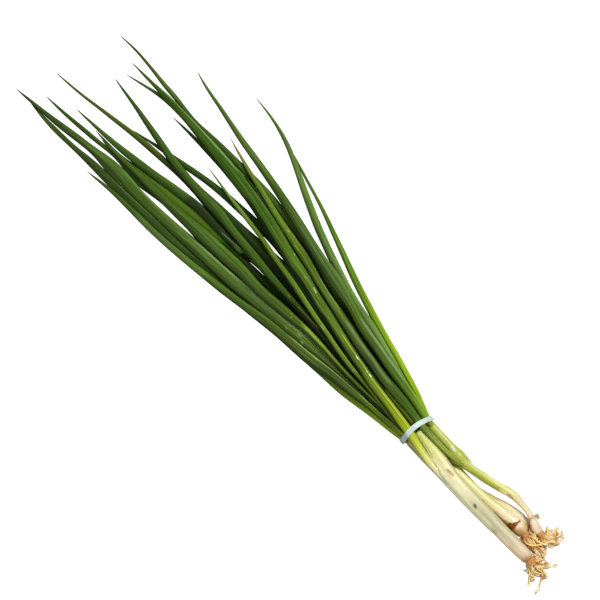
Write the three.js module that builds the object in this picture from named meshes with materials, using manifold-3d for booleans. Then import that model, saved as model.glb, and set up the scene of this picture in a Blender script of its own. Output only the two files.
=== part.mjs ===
// A tied bunch of five spring onions, lying down. Millimetres, +Z up.
//
// The bunch is laid out along X: roots towards -X, leaf tips towards +X, and the rubber band at x = 0.
// Every stem and leaf is a tube whose sections stand across X, so a route is a short list of
// [x, y, width] read along the tube. The tubes are then laid down one over another, lowest first,
// and each takes the height at which it just clears what it lies on.
// At the end the whole bunch is moved so that the middle of its footprint is at the origin.

import * as THREE from "three";
import { mergeVertices } from "three/addons/utils/BufferGeometryUtils.js";
import Module from "manifold-3d";

const wasm = await Module();
wasm.setup();

// Driving dimensions

const LAY_GAP = 0.4; // clear air between one tube and the next
const THINNEST = 0.35; // half the thickness of a leaf's tip
const STEM_ROUNDNESS = 0.9; // height of a white stem over its width
const STEM_SIDES = 12;
const LEAF_SIDES = 8;
const STATION_STEP = 10; // between the sections of a tube
const STATION_ROOM = 1.6; // least distance between two sections
const SAMPLE_STEP = 2.5; // between the places where heights are worked out
const LAYOUT_START = -120;
const LAYOUT_END = 320;
const SMOOTHING = 10; // half the stretch over which a tube's height is evened out
const LEAF_SAG = 0.0016; // how fast a leaf bends down past what it lies on, per mm
const STEM_SAG = 0.0009;
const FOOT_LENGTH = 8; // a leaf starts no lower than its own stem along this stretch

const BAND_WIDTH = 3.4;
const BAND_THICKNESS = 0.8;
const BAND_CLEARANCE = 0.3;
const BAND_CENTRE_X = 2.7; // at the top of its bow
const BAND_BOW_Y = 2; // where across the bunch the bow is furthest towards the tips
const BAND_BOW = 0.022; // how fast it falls back to each side of that
const BAND_CORNERS = 32;
const BAND_STRETCH = [-4, 7]; // where the plants are held up off the surface by the band

const ROOT_RADIUS = 0.5;
const ROOT_TIP_RADIUS = 0.36;
const ROOT_SIDES = 4;
const ROOT_STEP = 2.6; // between two bends of a root
const ROOT_CLEARANCE = 0.35;
const ROOT_START = 1.4; // how far behind the end of the stem the roots leave the crown
const ROOT_ORIGIN = 0.6; // the share of the crown's width that they leave from
const ROOT_SPREAD = [0.75, 0.4]; // how far the outermost roots turn out, across and up
const ROOT_WANDER = [0.3, 1.1, 0.5]; // how much a root turns at each bend: back, across and up
const ROOT_DROOP = 0.22; // how much it turns down at each bend
const ROOT_SHORTEST = 0.6; // share of the tuft's reach
const CROWN_LENGTH = 4.2;
const CROWN_SHAPE = [[3.2, 0.55], [1.8, 0.85], [LAY_GAP, 0.9]]; // [behind the stem, share of its width]

const SKIN_STEPS = 9;
const SKIN_EASE = 1.04; // how much wider than the stem the dry skin curls
const SKIN_RAGGED = 0.35; // how far its torn edges waver

// Colours

const WHITE_STEM = 0xe1d7be;
const YELLOWED_STEM = 0xd8cf96;
const BRIGHT_LEAF = 0x96aa28;
const MID_LEAF = 0x5a7828;
const DARK_LEAF = 0x3c5f23;
const WAXY_LEAF = 0x557d50;
const OLIVE_LEAF = 0x5f6e1e;
const ROOT_TAN = 0xdeaa64;
const SKIN_TAN = 0xc89650;
const BAND_BLUE = 0xcde1dc;

// Routes of the five plants. Each row is [x, y, width] on the middle of the tube, tip last.

const STEMS = {
  onion_5: {
    colour: YELLOWED_STEM,
    route: [
      [-84, 6, 4.8], [-81, 6, 6.2], [-70, 6.2, 6.8], [-50, 6.9, 6.8], [-30, 7, 6.8],
      [-12, 6.8, 6.6], [0, 6.5, 6], [12, 7.4, 5.4], [25, 8.4, 4.4], [44, 10.4, 1.8],
    ],
  },
  onion_3: {
    colour: YELLOWED_STEM,
    route: [
      [-89, -9, 4.2], [-86, -8.9, 5.6], [-78, -8.1, 6], [-70, -6.4, 5.8], [-60, -3.9, 5],
      [-50, -2.6, 4], [-40, -2.2, 3.6], [-25, -3.2, 3.6], [-10, -4.6, 3.6], [5, -5.2, 3.6],
      [20, -6.4, 3.4], [40, -8.2, 2.8], [55, -9.6, 1.8],
    ],
  },
  onion_2: {
    colour: WHITE_STEM,
    route: [
      [-88, -5.6, 4.6], [-85, -5.4, 6.6], [-78, -4.8, 7.6], [-70, -3.4, 7.2], [-60, -1.6, 6.8],
      [-45, -0.8, 6.6], [-35, -0.2, 6], [-28, 0.6, 5], [-10, 0.4, 5], [5, 0.6, 5], [20, 0.6, 4.4],
      [35, 0.8, 3.4], [50, 1.2, 1.8],
    ],
  },
  onion_4: {
    colour: YELLOWED_STEM,
    route: [
      [-96, -11.9, 4.4], [-94, -12, 5.4], [-90, -12.6, 5.8], [-85, -14.4, 4.4], [-80, -15.4, 3.7],
      [-70, -15.9, 4.3], [-60, -13, 5], [-50, -10, 5.3], [-40, -8.6, 5.6], [-33, -7.4, 7],
      [-28, -6.7, 9], [-21, -7.7, 4.8], [-10, -7.9, 4.4], [0, -8, 4.3], [6, -9.2, 4.5],
    ],
  },
  onion_1: {
    colour: WHITE_STEM,
    route: [
      [-103, 3.8, 6.4], [-100, 3.8, 7.8], [-85, 3.5, 7.8], [-70, 3.9, 8], [-50, 4.4, 8.2],
      [-38, 4.3, 8.4], [-30, 3.6, 8.8], [-20, 1.9, 8], [-10, 1, 6.2], [-0.8, 0.5, 4.5],
    ],
  },
};

const LEAVES = {
  onion_4_leaf_4: {
    colour: BRIGHT_LEAF,
    route: [
      [7, -12.2, 1.6], [12, -14, 2.2], [20, -16.4, 2.6], [40, -21.4, 2.9], [60, -25.7, 3.4],
      [80, -30.7, 3.8], [100, -37.2, 4], [120, -44.3, 3], [140, -50.3, 2.2], [155, -53.8, 1.4],
      [170, -57.5, 0.7],
    ],
  },
  onion_2_leaf_4: {
    colour: DARK_LEAF,
    route: [
      [60, 9.5, 2], [100, 12, 3.2], [150, 15.5, 3.6], [190, 16.9, 3.6], [210, 18.5, 3.4],
      [230, 20.9, 3], [250, 21.7, 3], [270, 24, 2.2], [285, 25.7, 1.2], [298, 26.2, 0.7],
    ],
  },
  onion_2_leaf_3: {
    colour: OLIVE_LEAF,
    route: [
      [50, 6.4, 2], [80, 6.6, 3], [110, 6.6, 4], [130, 6.9, 4.6], [140, 7.5, 3.6], [160, 7.4, 3.4],
      [180, 9.4, 3.2], [200, 11.7, 3.3], [220, 14.4, 2.5], [240, 17.5, 1.6], [250, 18.4, 1.2],
      [263, 18.4, 0.7],
    ],
  },
  onion_3_leaf_4: {
    colour: MID_LEAF,
    route: [
      [150, -22, 1.8], [190, -25, 3], [220, -26, 2.6], [240, -25, 1.8], [250, -23.6, 1.5],
      [260, -21.4, 1], [275, -18, 0.7],
    ],
  },
  onion_3_leaf_3: {
    colour: MID_LEAF,
    route: [
      [110, -13, 1.8], [150, -19, 3], [190, -22, 3.2], [205, -22.1, 2.6], [220, -21.7, 1.5],
      [230, -21.1, 0.9], [237, -21, 0.7],
    ],
  },
  onion_3_leaf_5: {
    colour: OLIVE_LEAF,
    route: [[110, -17.5, 1.4], [140, -21.5, 2], [160, -24.5, 2], [172, -26.6, 1.4], [181, -28.3, 0.7]],
  },
  onion_3_leaf_2: {
    colour: MID_LEAF,
    route: [
      [40, -11.6, 2.2], [55, -13.3, 2.8], [75, -16.2, 3.4], [95, -20.2, 3.8], [120, -25.6, 3.8],
      [140, -28.8, 3.6], [160, -31.1, 3.6], [180, -30.8, 3.4], [195, -30.3, 3], [210, -29.9, 2.2],
      [225, -29.4, 1.9], [240, -29.7, 1.9], [255, -30.1, 2.2], [270, -31.5, 1.4], [282, -31.9, 0.9],
      [295, -31.1, 0.7],
    ],
  },
  onion_3_leaf_1: {
    colour: DARK_LEAF,
    route: [
      [46, -5.4, 2.2], [60, -6.4, 3.4], [75, -8.3, 3.8], [100, -11.6, 4], [120, -14, 4.2],
      [140, -15.2, 4.4], [150, -15, 4.4], [160, -14.3, 4], [170, -13.2, 3.7], [180, -11.9, 3.8],
      [190, -10.3, 4], [200, -8.1, 3.5], [210, -6.1, 2.4], [220, -3.9, 1.6], [235, -0.8, 1.1],
      [247, 1.6, 0.7],
    ],
  },
  onion_2_leaf_2: {
    colour: OLIVE_LEAF,
    route: [
      [45, -0.6, 2], [70, -0.6, 3], [120, -0.2, 3.4], [160, 0.4, 3.8], [175, 1.2, 3.8],
      [185, 0.7, 3.4], [195, -0.3, 2.8], [210, -0.2, 2.9], [230, 1.7, 3], [250, 4.2, 2.2],
      [270, 7.7, 1.7], [285, 10.2, 1.1], [304, 12.2, 0.7],
    ],
  },
  onion_2_leaf_1: {
    colour: MID_LEAF,
    route: [
      [40, 4, 2], [60, 4.6, 3.2], [90, 4, 3.4], [110, 3.3, 3.4], [125, 2, 3.2], [138, 1.8, 3.2],
      [150, 3.6, 3.4], [165, 4.5, 4.2], [180, 5.2, 4.6], [190, 6.2, 5.2], [210, 9.3, 4.2],
      [230, 13, 3.5], [250, 15.9, 2.2], [262, 17, 1.3], [280, 18.2, 0.7],
    ],
  },
  onion_1_leaf_4: {
    colour: DARK_LEAF,
    route: [
      [5, -1, 2.6], [15, -1.8, 3], [30, -2.8, 3.4], [60, -2, 3.6], [100, -1.4, 4],
      [130, -4, 4.4], [148, -5.2, 4.8], [160, -5.2, 4], [170, -4.9, 3], [190, -4.1, 1.8],
      [203, -3.4, 0.8],
    ],
  },
  onion_5_leaf_1: {
    colour: MID_LEAF,
    route: [
      [5, 10.9, 1.6], [12, 11.9, 2.2], [20, 13.1, 2.4], [50, 18, 2.8], [70, 19.6, 3.2],
      [100, 21.3, 3.6], [130, 23.4, 3.8], [150, 25.8, 4], [180, 29.5, 4.5], [200, 31.2, 5],
      [220, 32.6, 4.7], [250, 33.6, 3.9], [270, 35.4, 2.5], [288, 36.2, 1.8], [301, 35.7, 0.7],
    ],
  },
  onion_4_leaf_3: {
    colour: WAXY_LEAF,
    route: [
      [14, -12, 1.8], [20, -13.2, 2.8], [40, -17.3, 4.5], [60, -21, 4.8], [80, -25, 4.8],
      [100, -30, 5], [120, -36, 5], [140, -43.9, 4.3], [160, -51.9, 4.1], [180, -60.2, 2.9],
      [190, -62.9, 2], [200, -64.5, 1.1], [212, -65.3, 0.7],
    ],
  },
  onion_4_leaf_2: {
    colour: WAXY_LEAF,
    route: [
      [6.4, -9.3, 4.6], [20, -11.6, 4.8], [40, -13.7, 4.8], [60, -17, 5.2], [80, -21.2, 5.5],
      [100, -25, 6], [120, -28.5, 6.8], [140, -32, 6.5], [160, -36, 4.6], [180, -39, 3.8],
      [200, -41.7, 3.2], [220, -45.2, 2], [240, -48.2, 0.9], [247, -50.3, 0.7],
    ],
  },
  onion_5_leaf_3: {
    colour: DARK_LEAF,
    route: [
      [22, 8.6, 2], [35, 9.8, 3.6], [50, 10.8, 4.6], [70, 12.2, 5.6], [100, 14.7, 6.6],
      [120, 17.4, 7.6], [150, 20.4, 7.7], [170, 22.2, 7.2], [200, 25, 6.1], [220, 26.6, 6.4],
      [235, 26.9, 6], [250, 27.4, 4.6], [270, 30, 4], [280, 32, 3.6], [290, 33.4, 2.2],
      [305, 35.2, 1], [314, 36.3, 0.7],
    ],
  },
  onion_5_leaf_4: {
    colour: MID_LEAF,
    route: [
      [20, 6.6, 1.8], [40, 7.8, 2.8], [60, 8, 4], [80, 8, 4.8], [100, 8.8, 5.6], [120, 10.8, 6],
      [140, 11.8, 7.4], [160, 13.4, 7.4], [180, 15, 7.2], [200, 16.3, 5.7], [220, 17.6, 4.2],
      [240, 18.6, 2.6], [250, 19.4, 1.6], [256, 19.8, 0.8],
    ],
  },
  onion_1_leaf_3: {
    colour: MID_LEAF,
    route: [
      [28, 3.2, 2], [50, 2.6, 3.4], [85, 2.2, 3.6], [110, 1.4, 4], [130, 0.9, 5], [160, 0, 5.2],
      [180, -1.4, 6.3], [210, -2.4, 5], [230, -4.6, 3.9], [250, -7.8, 2.2], [270, -10.2, 1],
      [278, -11.6, 0.7],
    ],
  },
  onion_5_leaf_2: {
    colour: MID_LEAF,
    route: [
      [5, 8.8, 2], [12, 9.8, 3.2], [30, 11.5, 4], [50, 14.3, 5.5], [70, 17.5, 6.8], [100, 20.9, 6],
      [120, 24, 5.3], [140, 27.3, 5.4], [160, 30.9, 4.1], [180, 33.6, 3.2], [200, 35.3, 2.6],
      [220, 36.1, 1.9], [240, 37.7, 1], [249, 39, 0.7],
    ],
  },
  onion_4_leaf_1: {
    colour: DARK_LEAF,
    route: [
      [-27, -4, 1.6], [-20, -3.9, 3.1], [-5, -3.9, 3.6], [5, -4.4, 4], [20, -5.9, 5.1],
      [40, -7.7, 5.5], [60, -10.2, 5.5], [80, -12.8, 5.4], [100, -17, 5], [120, -21.3, 5],
      [140, -24.7, 4.4], [160, -28.4, 3.4], [180, -32.3, 2.2], [190, -34.5, 1.2], [205, -37.9, 0.7],
    ],
  },
  onion_1_leaf_2: {
    colour: BRIGHT_LEAF,
    route: [
      [5, 7, 1.4], [12, 6.7, 2], [20, 6.2, 2.2], [40, 4.3, 2.2], [60, 2.6, 2.4], [80, 0, 2.8],
      [100, -3.3, 3.3], [120, -6.2, 3.4], [140, -8.8, 3], [160, -11.4, 2.4], [180, -13.1, 1.5],
      [192, -14.7, 0.9], [201, -15.9, 0.7],
    ],
  },
  onion_1_leaf_1: {
    colour: BRIGHT_LEAF,
    route: [
      [-31, 9.2, 1.2], [-24, 8.4, 2.2], [-17, 7.6, 3.6], [-8, 6.4, 4.4], [2, 4.8, 5], [20, 2.6, 5.2],
      [40, 0.4, 5.5], [60, -2.3, 6.1], [80, -5.8, 6.5], [100, -9, 7.6], [120, -12.7, 8.4],
      [140, -16.8, 8.8], [160, -20.3, 8], [180, -23, 6.9], [200, -24.7, 7.4], [225, -26.2, 6.2],
      [240, -26.7, 4.4], [250, -26.2, 2.7], [265, -25.5, 1.4], [278, -25.4, 0.7],
    ],
  },
};

// Root tufts: how many threads, how long, and the way that they lean across the bunch.
const ROOTS = {
  onion_1: { threads: 16, reach: 14, lean: 0.12, seed: 11 },
  onion_2: { threads: 12, reach: 15, lean: -0.15, seed: 22 },
  onion_3: { threads: 7, reach: 9, lean: -0.1, seed: 33 },
  onion_4: { threads: 16, reach: 12, lean: -0.35, seed: 44 },
  onion_5: { threads: 7, reach: 9, lean: 0.1, seed: 55 },
};

// Dry papery skins that still cling to two stems. Angles go round the stem from +Y over the top.
const SKINS = {
  onion_4_dry_skin: { stem: "onion_4", from: -88.2, to: -85.2, start: 25, end: 205, thickness: 0.6 },
  onion_2_dry_skin: { stem: "onion_2", from: -82.2, to: -79, start: 45, end: 165, thickness: 0.6 },
};

// Smooth curve through one column of a route, with no overshoot between its points.
function along(route, column, x) {
  const last = route.length - 1;
  if (x <= route[0][0]) return route[0][column];
  if (x >= route[last][0]) return route[last][column];
  const secant = (i) => (route[i + 1][column] - route[i][column]) / (route[i + 1][0] - route[i][0]);
  const slope = (i) => {
    if (i === 0) return secant(0);
    if (i === last) return secant(last - 1);
    const before = secant(i - 1);
    const after = secant(i);
    return before * after <= 0 ? 0 : (2 * before * after) / (before + after);
  };
  let i = 0;
  while (route[i + 1][0] < x) i += 1;
  const run = route[i + 1][0] - route[i][0];
  const t = (x - route[i][0]) / run;
  const rise = route[i + 1][column] - route[i][column];
  const m0 = slope(i) * run;
  const m1 = slope(i + 1) * run;
  return route[i][column] + t * m0 + t * t * (3 * rise - 2 * m0 - m1) + t * t * t * (m0 + m1 - 2 * rise);
}

// Leaves are round where they are narrow and lie flatter where they are wide.
function halfHeight(tube, halfWidth) {
  if (tube.isStem) return STEM_ROUNDNESS * halfWidth;
  return Math.max(THINNEST, Math.min(0.8 * halfWidth, 0.6 + 0.32 * halfWidth));
}

// One section of a tube: its middle and half sizes at x. Its height is known once it is laid.
function sectionAt(tube, x) {
  const a = Math.max(THINNEST, along(tube.route, 2, x) / 2);
  const section = { x, y: along(tube.route, 1, x), a, b: halfHeight(tube, a), sides: tube.sides };
  if (tube.heights) section.z = heightAt(tube, x);
  return section;
}

// Corner k of a unit section: a polygon with a flat top, bottom and sides, touching the unit circle.
function unitCorner(sides, k) {
  const angle = ((k + 0.5) * 2 * Math.PI) / sides;
  const out = 1 / Math.cos(Math.PI / sides);
  return [out * Math.cos(angle), out * Math.sin(angle)];
}

// Height of a section's upper edge above its middle, at a distance u across from its middle.
function upperEdge(section, u) {
  const across = u / section.a;
  for (let k = 0; k < section.sides / 2 - 1; k += 1) {
    const [right, rightUp] = unitCorner(section.sides, k);
    const [left, leftUp] = unitCorner(section.sides, k + 1);
    if (across <= right + 1e-9 && across >= left - 1e-9) {
      const t = right === left ? 0 : (right - across) / (right - left);
      return section.b * (rightUp + t * (leftUp - rightUp));
    }
  }
  return 0;
}

// How far the middle of an upper section must be above a lower one's for the two to just touch.
function liftOver(upper, lower) {
  const shift = upper.y - lower.y;
  const reach = upper.a + LAY_GAP;
  const from = Math.max(-lower.a, shift - reach);
  const to = Math.min(lower.a, shift + reach);
  if (from >= to) return -Infinity;
  const spread = { ...upper, a: reach };
  const corners = [from, to];
  for (let k = 0; k < lower.sides / 2; k += 1) corners.push(lower.a * unitCorner(lower.sides, k)[0]);
  for (let k = 0; k < upper.sides / 2; k += 1) corners.push(shift + reach * unitCorner(upper.sides, k)[0]);
  const inside = corners.filter((u) => u >= from && u <= to);
  return LAY_GAP + Math.max(...inside.map((u) => upperEdge(lower, u) + upperEdge(spread, u - shift)));
}

function endsOf(tube) {
  return [tube.route[0][0], tube.route[tube.route.length - 1][0]];
}

function isBeside(tube, x) {
  const [start, end] = endsOf(tube);
  return x > start - SAMPLE_STEP && x < end + SAMPLE_STEP;
}

function shareAStretch(tube, other) {
  const [start, end] = endsOf(tube);
  const [otherStart, otherEnd] = endsOf(other);
  return start < otherEnd && end > otherStart;
}

function heightAt(tube, x) {
  const place = THREE.MathUtils.clamp((x - LAYOUT_START) / SAMPLE_STEP, tube.firstSample, tube.lastSample);
  const k = Math.min(Math.floor(place), tube.lastSample - 1);
  return THREE.MathUtils.lerp(tube.heights[k], tube.heights[k + 1], place - k);
}

// Height of what the lowest tubes lie on: the surface, or the band where it passes under them.
function floorAt(x) {
  const isOnBand = x >= BAND_STRETCH[0] && x <= BAND_STRETCH[1];
  return isOnBand ? BAND_THICKNESS + BAND_CLEARANCE : 0;
}

// Lay a tube on the surface and over the tubes that already lie there.
function layDown(tube, laid) {
  const samples = [];
  for (let x = LAYOUT_START; x <= LAYOUT_END; x += SAMPLE_STEP) {
    if (isBeside(tube, x)) samples.push(Math.round((x - LAYOUT_START) / SAMPLE_STEP));
  }
  const placeOf = (k) => LAYOUT_START + k * SAMPLE_STEP;
  const needs = samples.map((k) => {
    const section = sectionAt(tube, placeOf(k));
    const under = laid.filter((other) => shareAStretch(tube, other) && isBeside(other, placeOf(k)));
    const lifts = under.map((other) => {
      const lower = sectionAt(other, placeOf(k));
      return lower.z + liftOver(section, lower);
    });
    const isFoot = tube.stem && placeOf(k) < tube.route[0][0] + FOOT_LENGTH;
    const footHeight = isFoot ? heightAt(tube.stem, placeOf(k)) : 0;
    return Math.max(floorAt(placeOf(k)) + section.b, footHeight, ...lifts);
  });
  const sag = tube.isStem ? STEM_SAG : LEAF_SAG;
  const bent = samples.map((k) => {
    const pulls = samples.map((s, i) => needs[i] - sag * ((k - s) * SAMPLE_STEP) ** 2);
    return Math.max(...pulls);
  });
  const reach = Math.round(SMOOTHING / SAMPLE_STEP);
  const near = (list, i) => list.slice(Math.max(0, i - reach), i + reach + 1);
  const raised = bent.map((_, i) => Math.max(...near(bent, i)));
  const mean = (list) => list.reduce((sum, z) => sum + z, 0) / list.length;
  const even = raised.map((_, i) => mean(near(raised, i)));
  tube.firstSample = samples[0];
  tube.lastSample = samples[samples.length - 1];
  tube.heights = [];
  samples.forEach((k, i) => {
    tube.heights[k] = even[i];
  });
}

function ringOf(section) {
  const ring = [];
  for (let k = 0; k < section.sides; k += 1) {
    const [across, up] = unitCorner(section.sides, k);
    ring.push(new THREE.Vector3(section.x, section.y + section.a * across, section.z + section.b * up));
  }
  return ring;
}

function meshOf(points, index) {
  const geometry = new THREE.BufferGeometry();
  const numbers = points.flatMap((point) => point.toArray());
  geometry.setAttribute("position", new THREE.Float32BufferAttribute(numbers, 3));
  geometry.setIndex(index);
  return geometry;
}

// A closed body through a row of rings, with a point at each end.
function loft(rings, tail, nose) {
  const sides = rings[0].length;
  const points = [...rings.flat(), tail, nose];
  const tailIndex = points.length - 2;
  const noseIndex = points.length - 1;
  const index = [];
  for (let r = 0; r + 1 < rings.length; r += 1) {
    for (let k = 0; k < sides; k += 1) {
      const here = r * sides + k;
      const beside = r * sides + ((k + 1) % sides);
      index.push(here, beside + sides, here + sides, here, beside, beside + sides);
    }
  }
  const lastRing = (rings.length - 1) * sides;
  for (let k = 0; k < sides; k += 1) {
    const next = (k + 1) % sides;
    index.push(tailIndex, next, k, noseIndex, lastRing + k, lastRing + next);
  }
  return meshOf(points, index);
}

// Places along a tube where it has a section: even steps, its two ends, and every point of a stem's route.
function stationsOf(tube) {
  const own = tube.route.map(([x]) => x);
  const fixed = tube.isStem ? own : [own[0], own[own.length - 1]];
  const stations = [...fixed];
  for (let x = LAYOUT_START; x <= LAYOUT_END; x += STATION_STEP) {
    const isInside = x > own[0] && x < own[own.length - 1];
    if (isInside && fixed.every((place) => Math.abs(place - x) > STATION_ROOM)) stations.push(x);
  }
  return stations.sort((first, second) => first - second);
}

function tubeGeometry(tube) {
  const sections = stationsOf(tube).map((x) => sectionAt(tube, x));
  const first = sections[0];
  const last = sections[sections.length - 1];
  const tail = new THREE.Vector3(first.x, first.y, first.z);
  const nose = new THREE.Vector3(last.x, last.y, last.z);
  return loft(sections.map(ringOf), tail, nose);
}

// Repeatable random numbers from 0 to 1.
function randomFrom(seed) {
  let state = seed;
  return () => {
    state = (state * 1664525 + 1013904223) % 4294967296;
    return state / 4294967296;
  };
}

function solidOf(geometry) {
  const bare = new THREE.BufferGeometry();
  bare.setAttribute("position", geometry.getAttribute("position"));
  bare.setIndex(geometry.getIndex());
  const merged = mergeVertices(bare, 1e-4);
  const mesh = new wasm.Mesh({
    numProp: 3,
    vertProperties: new Float32Array(merged.getAttribute("position").array),
    triVerts: new Uint32Array(merged.getIndex().array),
  });
  return new wasm.Manifold(mesh);
}

function geometryOf(solid) {
  const mesh = solid.getMesh();
  const geometry = new THREE.BufferGeometry();
  geometry.setAttribute("position", new THREE.BufferAttribute(new Float32Array(mesh.vertProperties), 3));
  geometry.setIndex(new THREE.BufferAttribute(new Uint32Array(mesh.triVerts), 1));
  return geometry;
}

// One root: it leaves the crown, wanders and bends down towards the surface.
function rootPath(base, habit, random) {
  const turn = 2 * Math.PI * random();
  const out = Math.sqrt(random()) * ROOT_ORIGIN;
  const point = new THREE.Vector3(
    base.x - ROOT_START,
    base.y + out * base.a * Math.cos(turn),
    base.z + out * base.b * Math.sin(turn),
  );
  const [spread, spreadUp] = ROOT_SPREAD;
  const heading = new THREE.Vector3(
    -1,
    spread * out * Math.cos(turn) + habit.lean,
    spreadUp * out * Math.sin(turn),
  );
  const reach = habit.reach * THREE.MathUtils.lerp(ROOT_SHORTEST, 1, random());
  const steps = Math.max(3, Math.round(reach / ROOT_STEP));
  const lowest = ROOT_RADIUS + 0.05;
  const [back, across, up] = ROOT_WANDER;
  const path = [point.clone()];
  for (let k = 0; k < steps; k += 1) {
    const bend = [back * random(), across * (random() - 0.5), up * (random() - 0.5) - ROOT_DROOP];
    heading.add(new THREE.Vector3(...bend)).normalize();
    point.addScaledVector(heading, ROOT_STEP);
    if (point.z < lowest) {
      point.z = lowest;
      heading.z = 0;
    }
    path.push(point.clone());
  }
  return path;
}

function threadGeometry(path) {
  const rings = path.map((point, k) => {
    const ahead = path[Math.min(k + 1, path.length - 1)];
    const behind = path[Math.max(k - 1, 0)];
    const tangent = ahead.clone().sub(behind).normalize();
    const side = new THREE.Vector3(0, 0, 1).cross(tangent).normalize();
    const up = tangent.clone().cross(side);
    const radius = THREE.MathUtils.lerp(ROOT_RADIUS, ROOT_TIP_RADIUS, k / (path.length - 1));
    const ring = [];
    for (let n = 0; n < ROOT_SIDES; n += 1) {
      const angle = (n * 2 * Math.PI) / ROOT_SIDES;
      const spoke = side.clone().multiplyScalar(Math.cos(angle)).addScaledVector(up, Math.sin(angle));
      ring.push(point.clone().addScaledVector(spoke, radius));
    }
    return ring;
  });
  return loft(rings, path[0], path[path.length - 1]);
}

// The short stub that the roots grow from, just behind the end of the stem.
function crownGeometry(base) {
  const rings = CROWN_SHAPE.map(([back, share]) =>
    ringOf({ ...base, x: base.x - back, a: base.a * share, b: base.b * share, sides: LEAF_SIDES }),
  );
  const tail = new THREE.Vector3(base.x - CROWN_LENGTH, base.y, base.z);
  const nose = new THREE.Vector3(base.x - LAY_GAP, base.y, base.z);
  return loft(rings, tail, nose);
}

function isClearOfTubes(point, tubes) {
  return tubes.every((tube) => {
    const margin = ROOT_RADIUS + ROOT_CLEARANCE;
    const [start] = tube.route[0];
    if (point.x < start - margin) return true;
    const section = sectionAt(tube, Math.max(point.x, start));
    const across = (point.y - section.y) / (section.a + margin);
    const up = (point.z - section.z) / (section.b + margin);
    return across * across + up * up > 1.15;
  });
}

function isClearOfRoots(point, others) {
  return others.every((other) => other.distanceTo(point) > 2 * ROOT_RADIUS + 2 * ROOT_CLEARANCE);
}

// Points along a path and halfway between them.
function dense(path) {
  return path.flatMap((point, k) => (k ? [path[k - 1].clone().lerp(point, 0.5), point] : [point]));
}

// A crown and its threads, fused. A thread that would touch another plant is drawn again.
function rootTuft(habit, stem, stems, otherRoots) {
  const base = sectionAt(stem, stem.route[0][0]);
  const random = randomFrom(habit.seed);
  const neighbours = stems.filter((tube) => tube !== stem);
  let tuft = solidOf(crownGeometry(base));
  const crownPoints = [0, 1.5, 3].map((back) => new THREE.Vector3(base.x - 1 - back, base.y, base.z));
  const ownPoints = [...crownPoints];
  let grown = 0;
  for (let attempt = 0; attempt < 40 * habit.threads && grown < habit.threads; attempt += 1) {
    const path = rootPath(base, habit, random);
    const outside = dense(path).slice(2);
    const clear = outside.every(
      (p) => isClearOfTubes(p, neighbours) && isClearOfRoots(p, otherRoots) && p.x < base.x - 1.2,
    );
    if (!clear) continue;
    tuft = tuft.add(solidOf(threadGeometry(path)));
    ownPoints.push(...outside);
    grown += 1;
  }
  return { geometry: geometryOf(tuft), points: ownPoints };
}

// A torn strip of dry skin: a thin curved plate round part of a stem.
function skinGeometry(skin, stem) {
  const plate = [];
  for (let k = 0; k <= SKIN_STEPS; k += 1) {
    const angle = THREE.MathUtils.degToRad(THREE.MathUtils.lerp(skin.start, skin.end, k / SKIN_STEPS));
    const ragged = SKIN_RAGGED * Math.sin(2.3 * k);
    const corner = (x, offset) => {
      const section = sectionAt(stem, x);
      return new THREE.Vector3(
        x,
        section.y + (section.a * SKIN_EASE + offset) * Math.cos(angle),
        section.z + (section.b * SKIN_EASE + offset) * Math.sin(angle),
      );
    };
    const inner = LAY_GAP;
    const outer = LAY_GAP + skin.thickness;
    plate.push([
      corner(skin.from + ragged, inner),
      corner(skin.to + ragged, inner),
      corner(skin.to + ragged, outer),
      corner(skin.from + ragged, outer),
    ]);
  }
  const middle = (ring) => ring[0].clone().add(ring[2]).multiplyScalar(0.5);
  return loft(plate, middle(plate[0]), middle(plate[SKIN_STEPS]));
}

// The rubber band: a flat strip stretched round everything that passes through it.
function bandGeometry(tubes) {
  const skin = [];
  for (const x of [-2, 0, 2.5]) {
    for (const tube of tubes.filter((one) => isBeside(one, x))) {
      const section = sectionAt(tube, x);
      const isLowest = section.z - section.b < floorAt(x) + LAY_GAP;
      skin.push(...ringOf(section));
      if (isLowest) skin.push(new THREE.Vector3(x, section.y, floorAt(x)));
    }
  }
  const edge = (direction, offset, side) => {
    const reach = (p) => p.y * direction.y + p.z * direction.z;
    const furthest = skin.reduce((best, p) => (reach(p) > reach(best) ? p : best));
    const y = furthest.y + offset * direction.y;
    const z = furthest.z + offset * direction.z;
    const x = BAND_CENTRE_X - BAND_BOW * (y - BAND_BOW_Y) ** 2 + (side * BAND_WIDTH) / 2;
    return new THREE.Vector3(x, y, z);
  };
  const rings = [];
  for (let k = 0; k < BAND_CORNERS; k += 1) {
    const angle = ((k + 0.5) * 2 * Math.PI) / BAND_CORNERS;
    const direction = new THREE.Vector3(0, Math.cos(angle), Math.sin(angle));
    const far = BAND_CLEARANCE + BAND_THICKNESS;
    rings.push([
      edge(direction, BAND_CLEARANCE, -1),
      edge(direction, far, -1),
      edge(direction, far, 1),
      edge(direction, BAND_CLEARANCE, 1),
    ]);
  }
  const points = rings.flat();
  const index = [];
  for (let r = 0; r < rings.length; r += 1) {
    const next = (r + 1) % rings.length;
    for (let k = 0; k < 4; k += 1) {
      const side = (k + 1) % 4;
      index.push(4 * r + k, 4 * next + k, 4 * next + side, 4 * r + k, 4 * next + side, 4 * r + side);
    }
  }
  return meshOf(points, index);
}

function addPiece(group, name, geometry, colour, roughness) {
  geometry.computeVertexNormals();
  const material = new THREE.MeshStandardMaterial({ color: colour, roughness, metalness: 0 });
  const mesh = new THREE.Mesh(geometry, material);
  mesh.name = name;
  group.add(mesh);
}

// Build: stems first, then leaves, each laid over what is there already.

const bunch = new THREE.Group();
const stems = {};
const tubes = [];

for (const [name, { route, colour }] of Object.entries(STEMS)) {
  const tube = { route, isStem: true, sides: STEM_SIDES };
  layDown(tube, tubes);
  tubes.push(tube);
  stems[name] = tube;
  addPiece(bunch, `${name}_stem`, tubeGeometry(tube), colour, 0.45);
}

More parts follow.
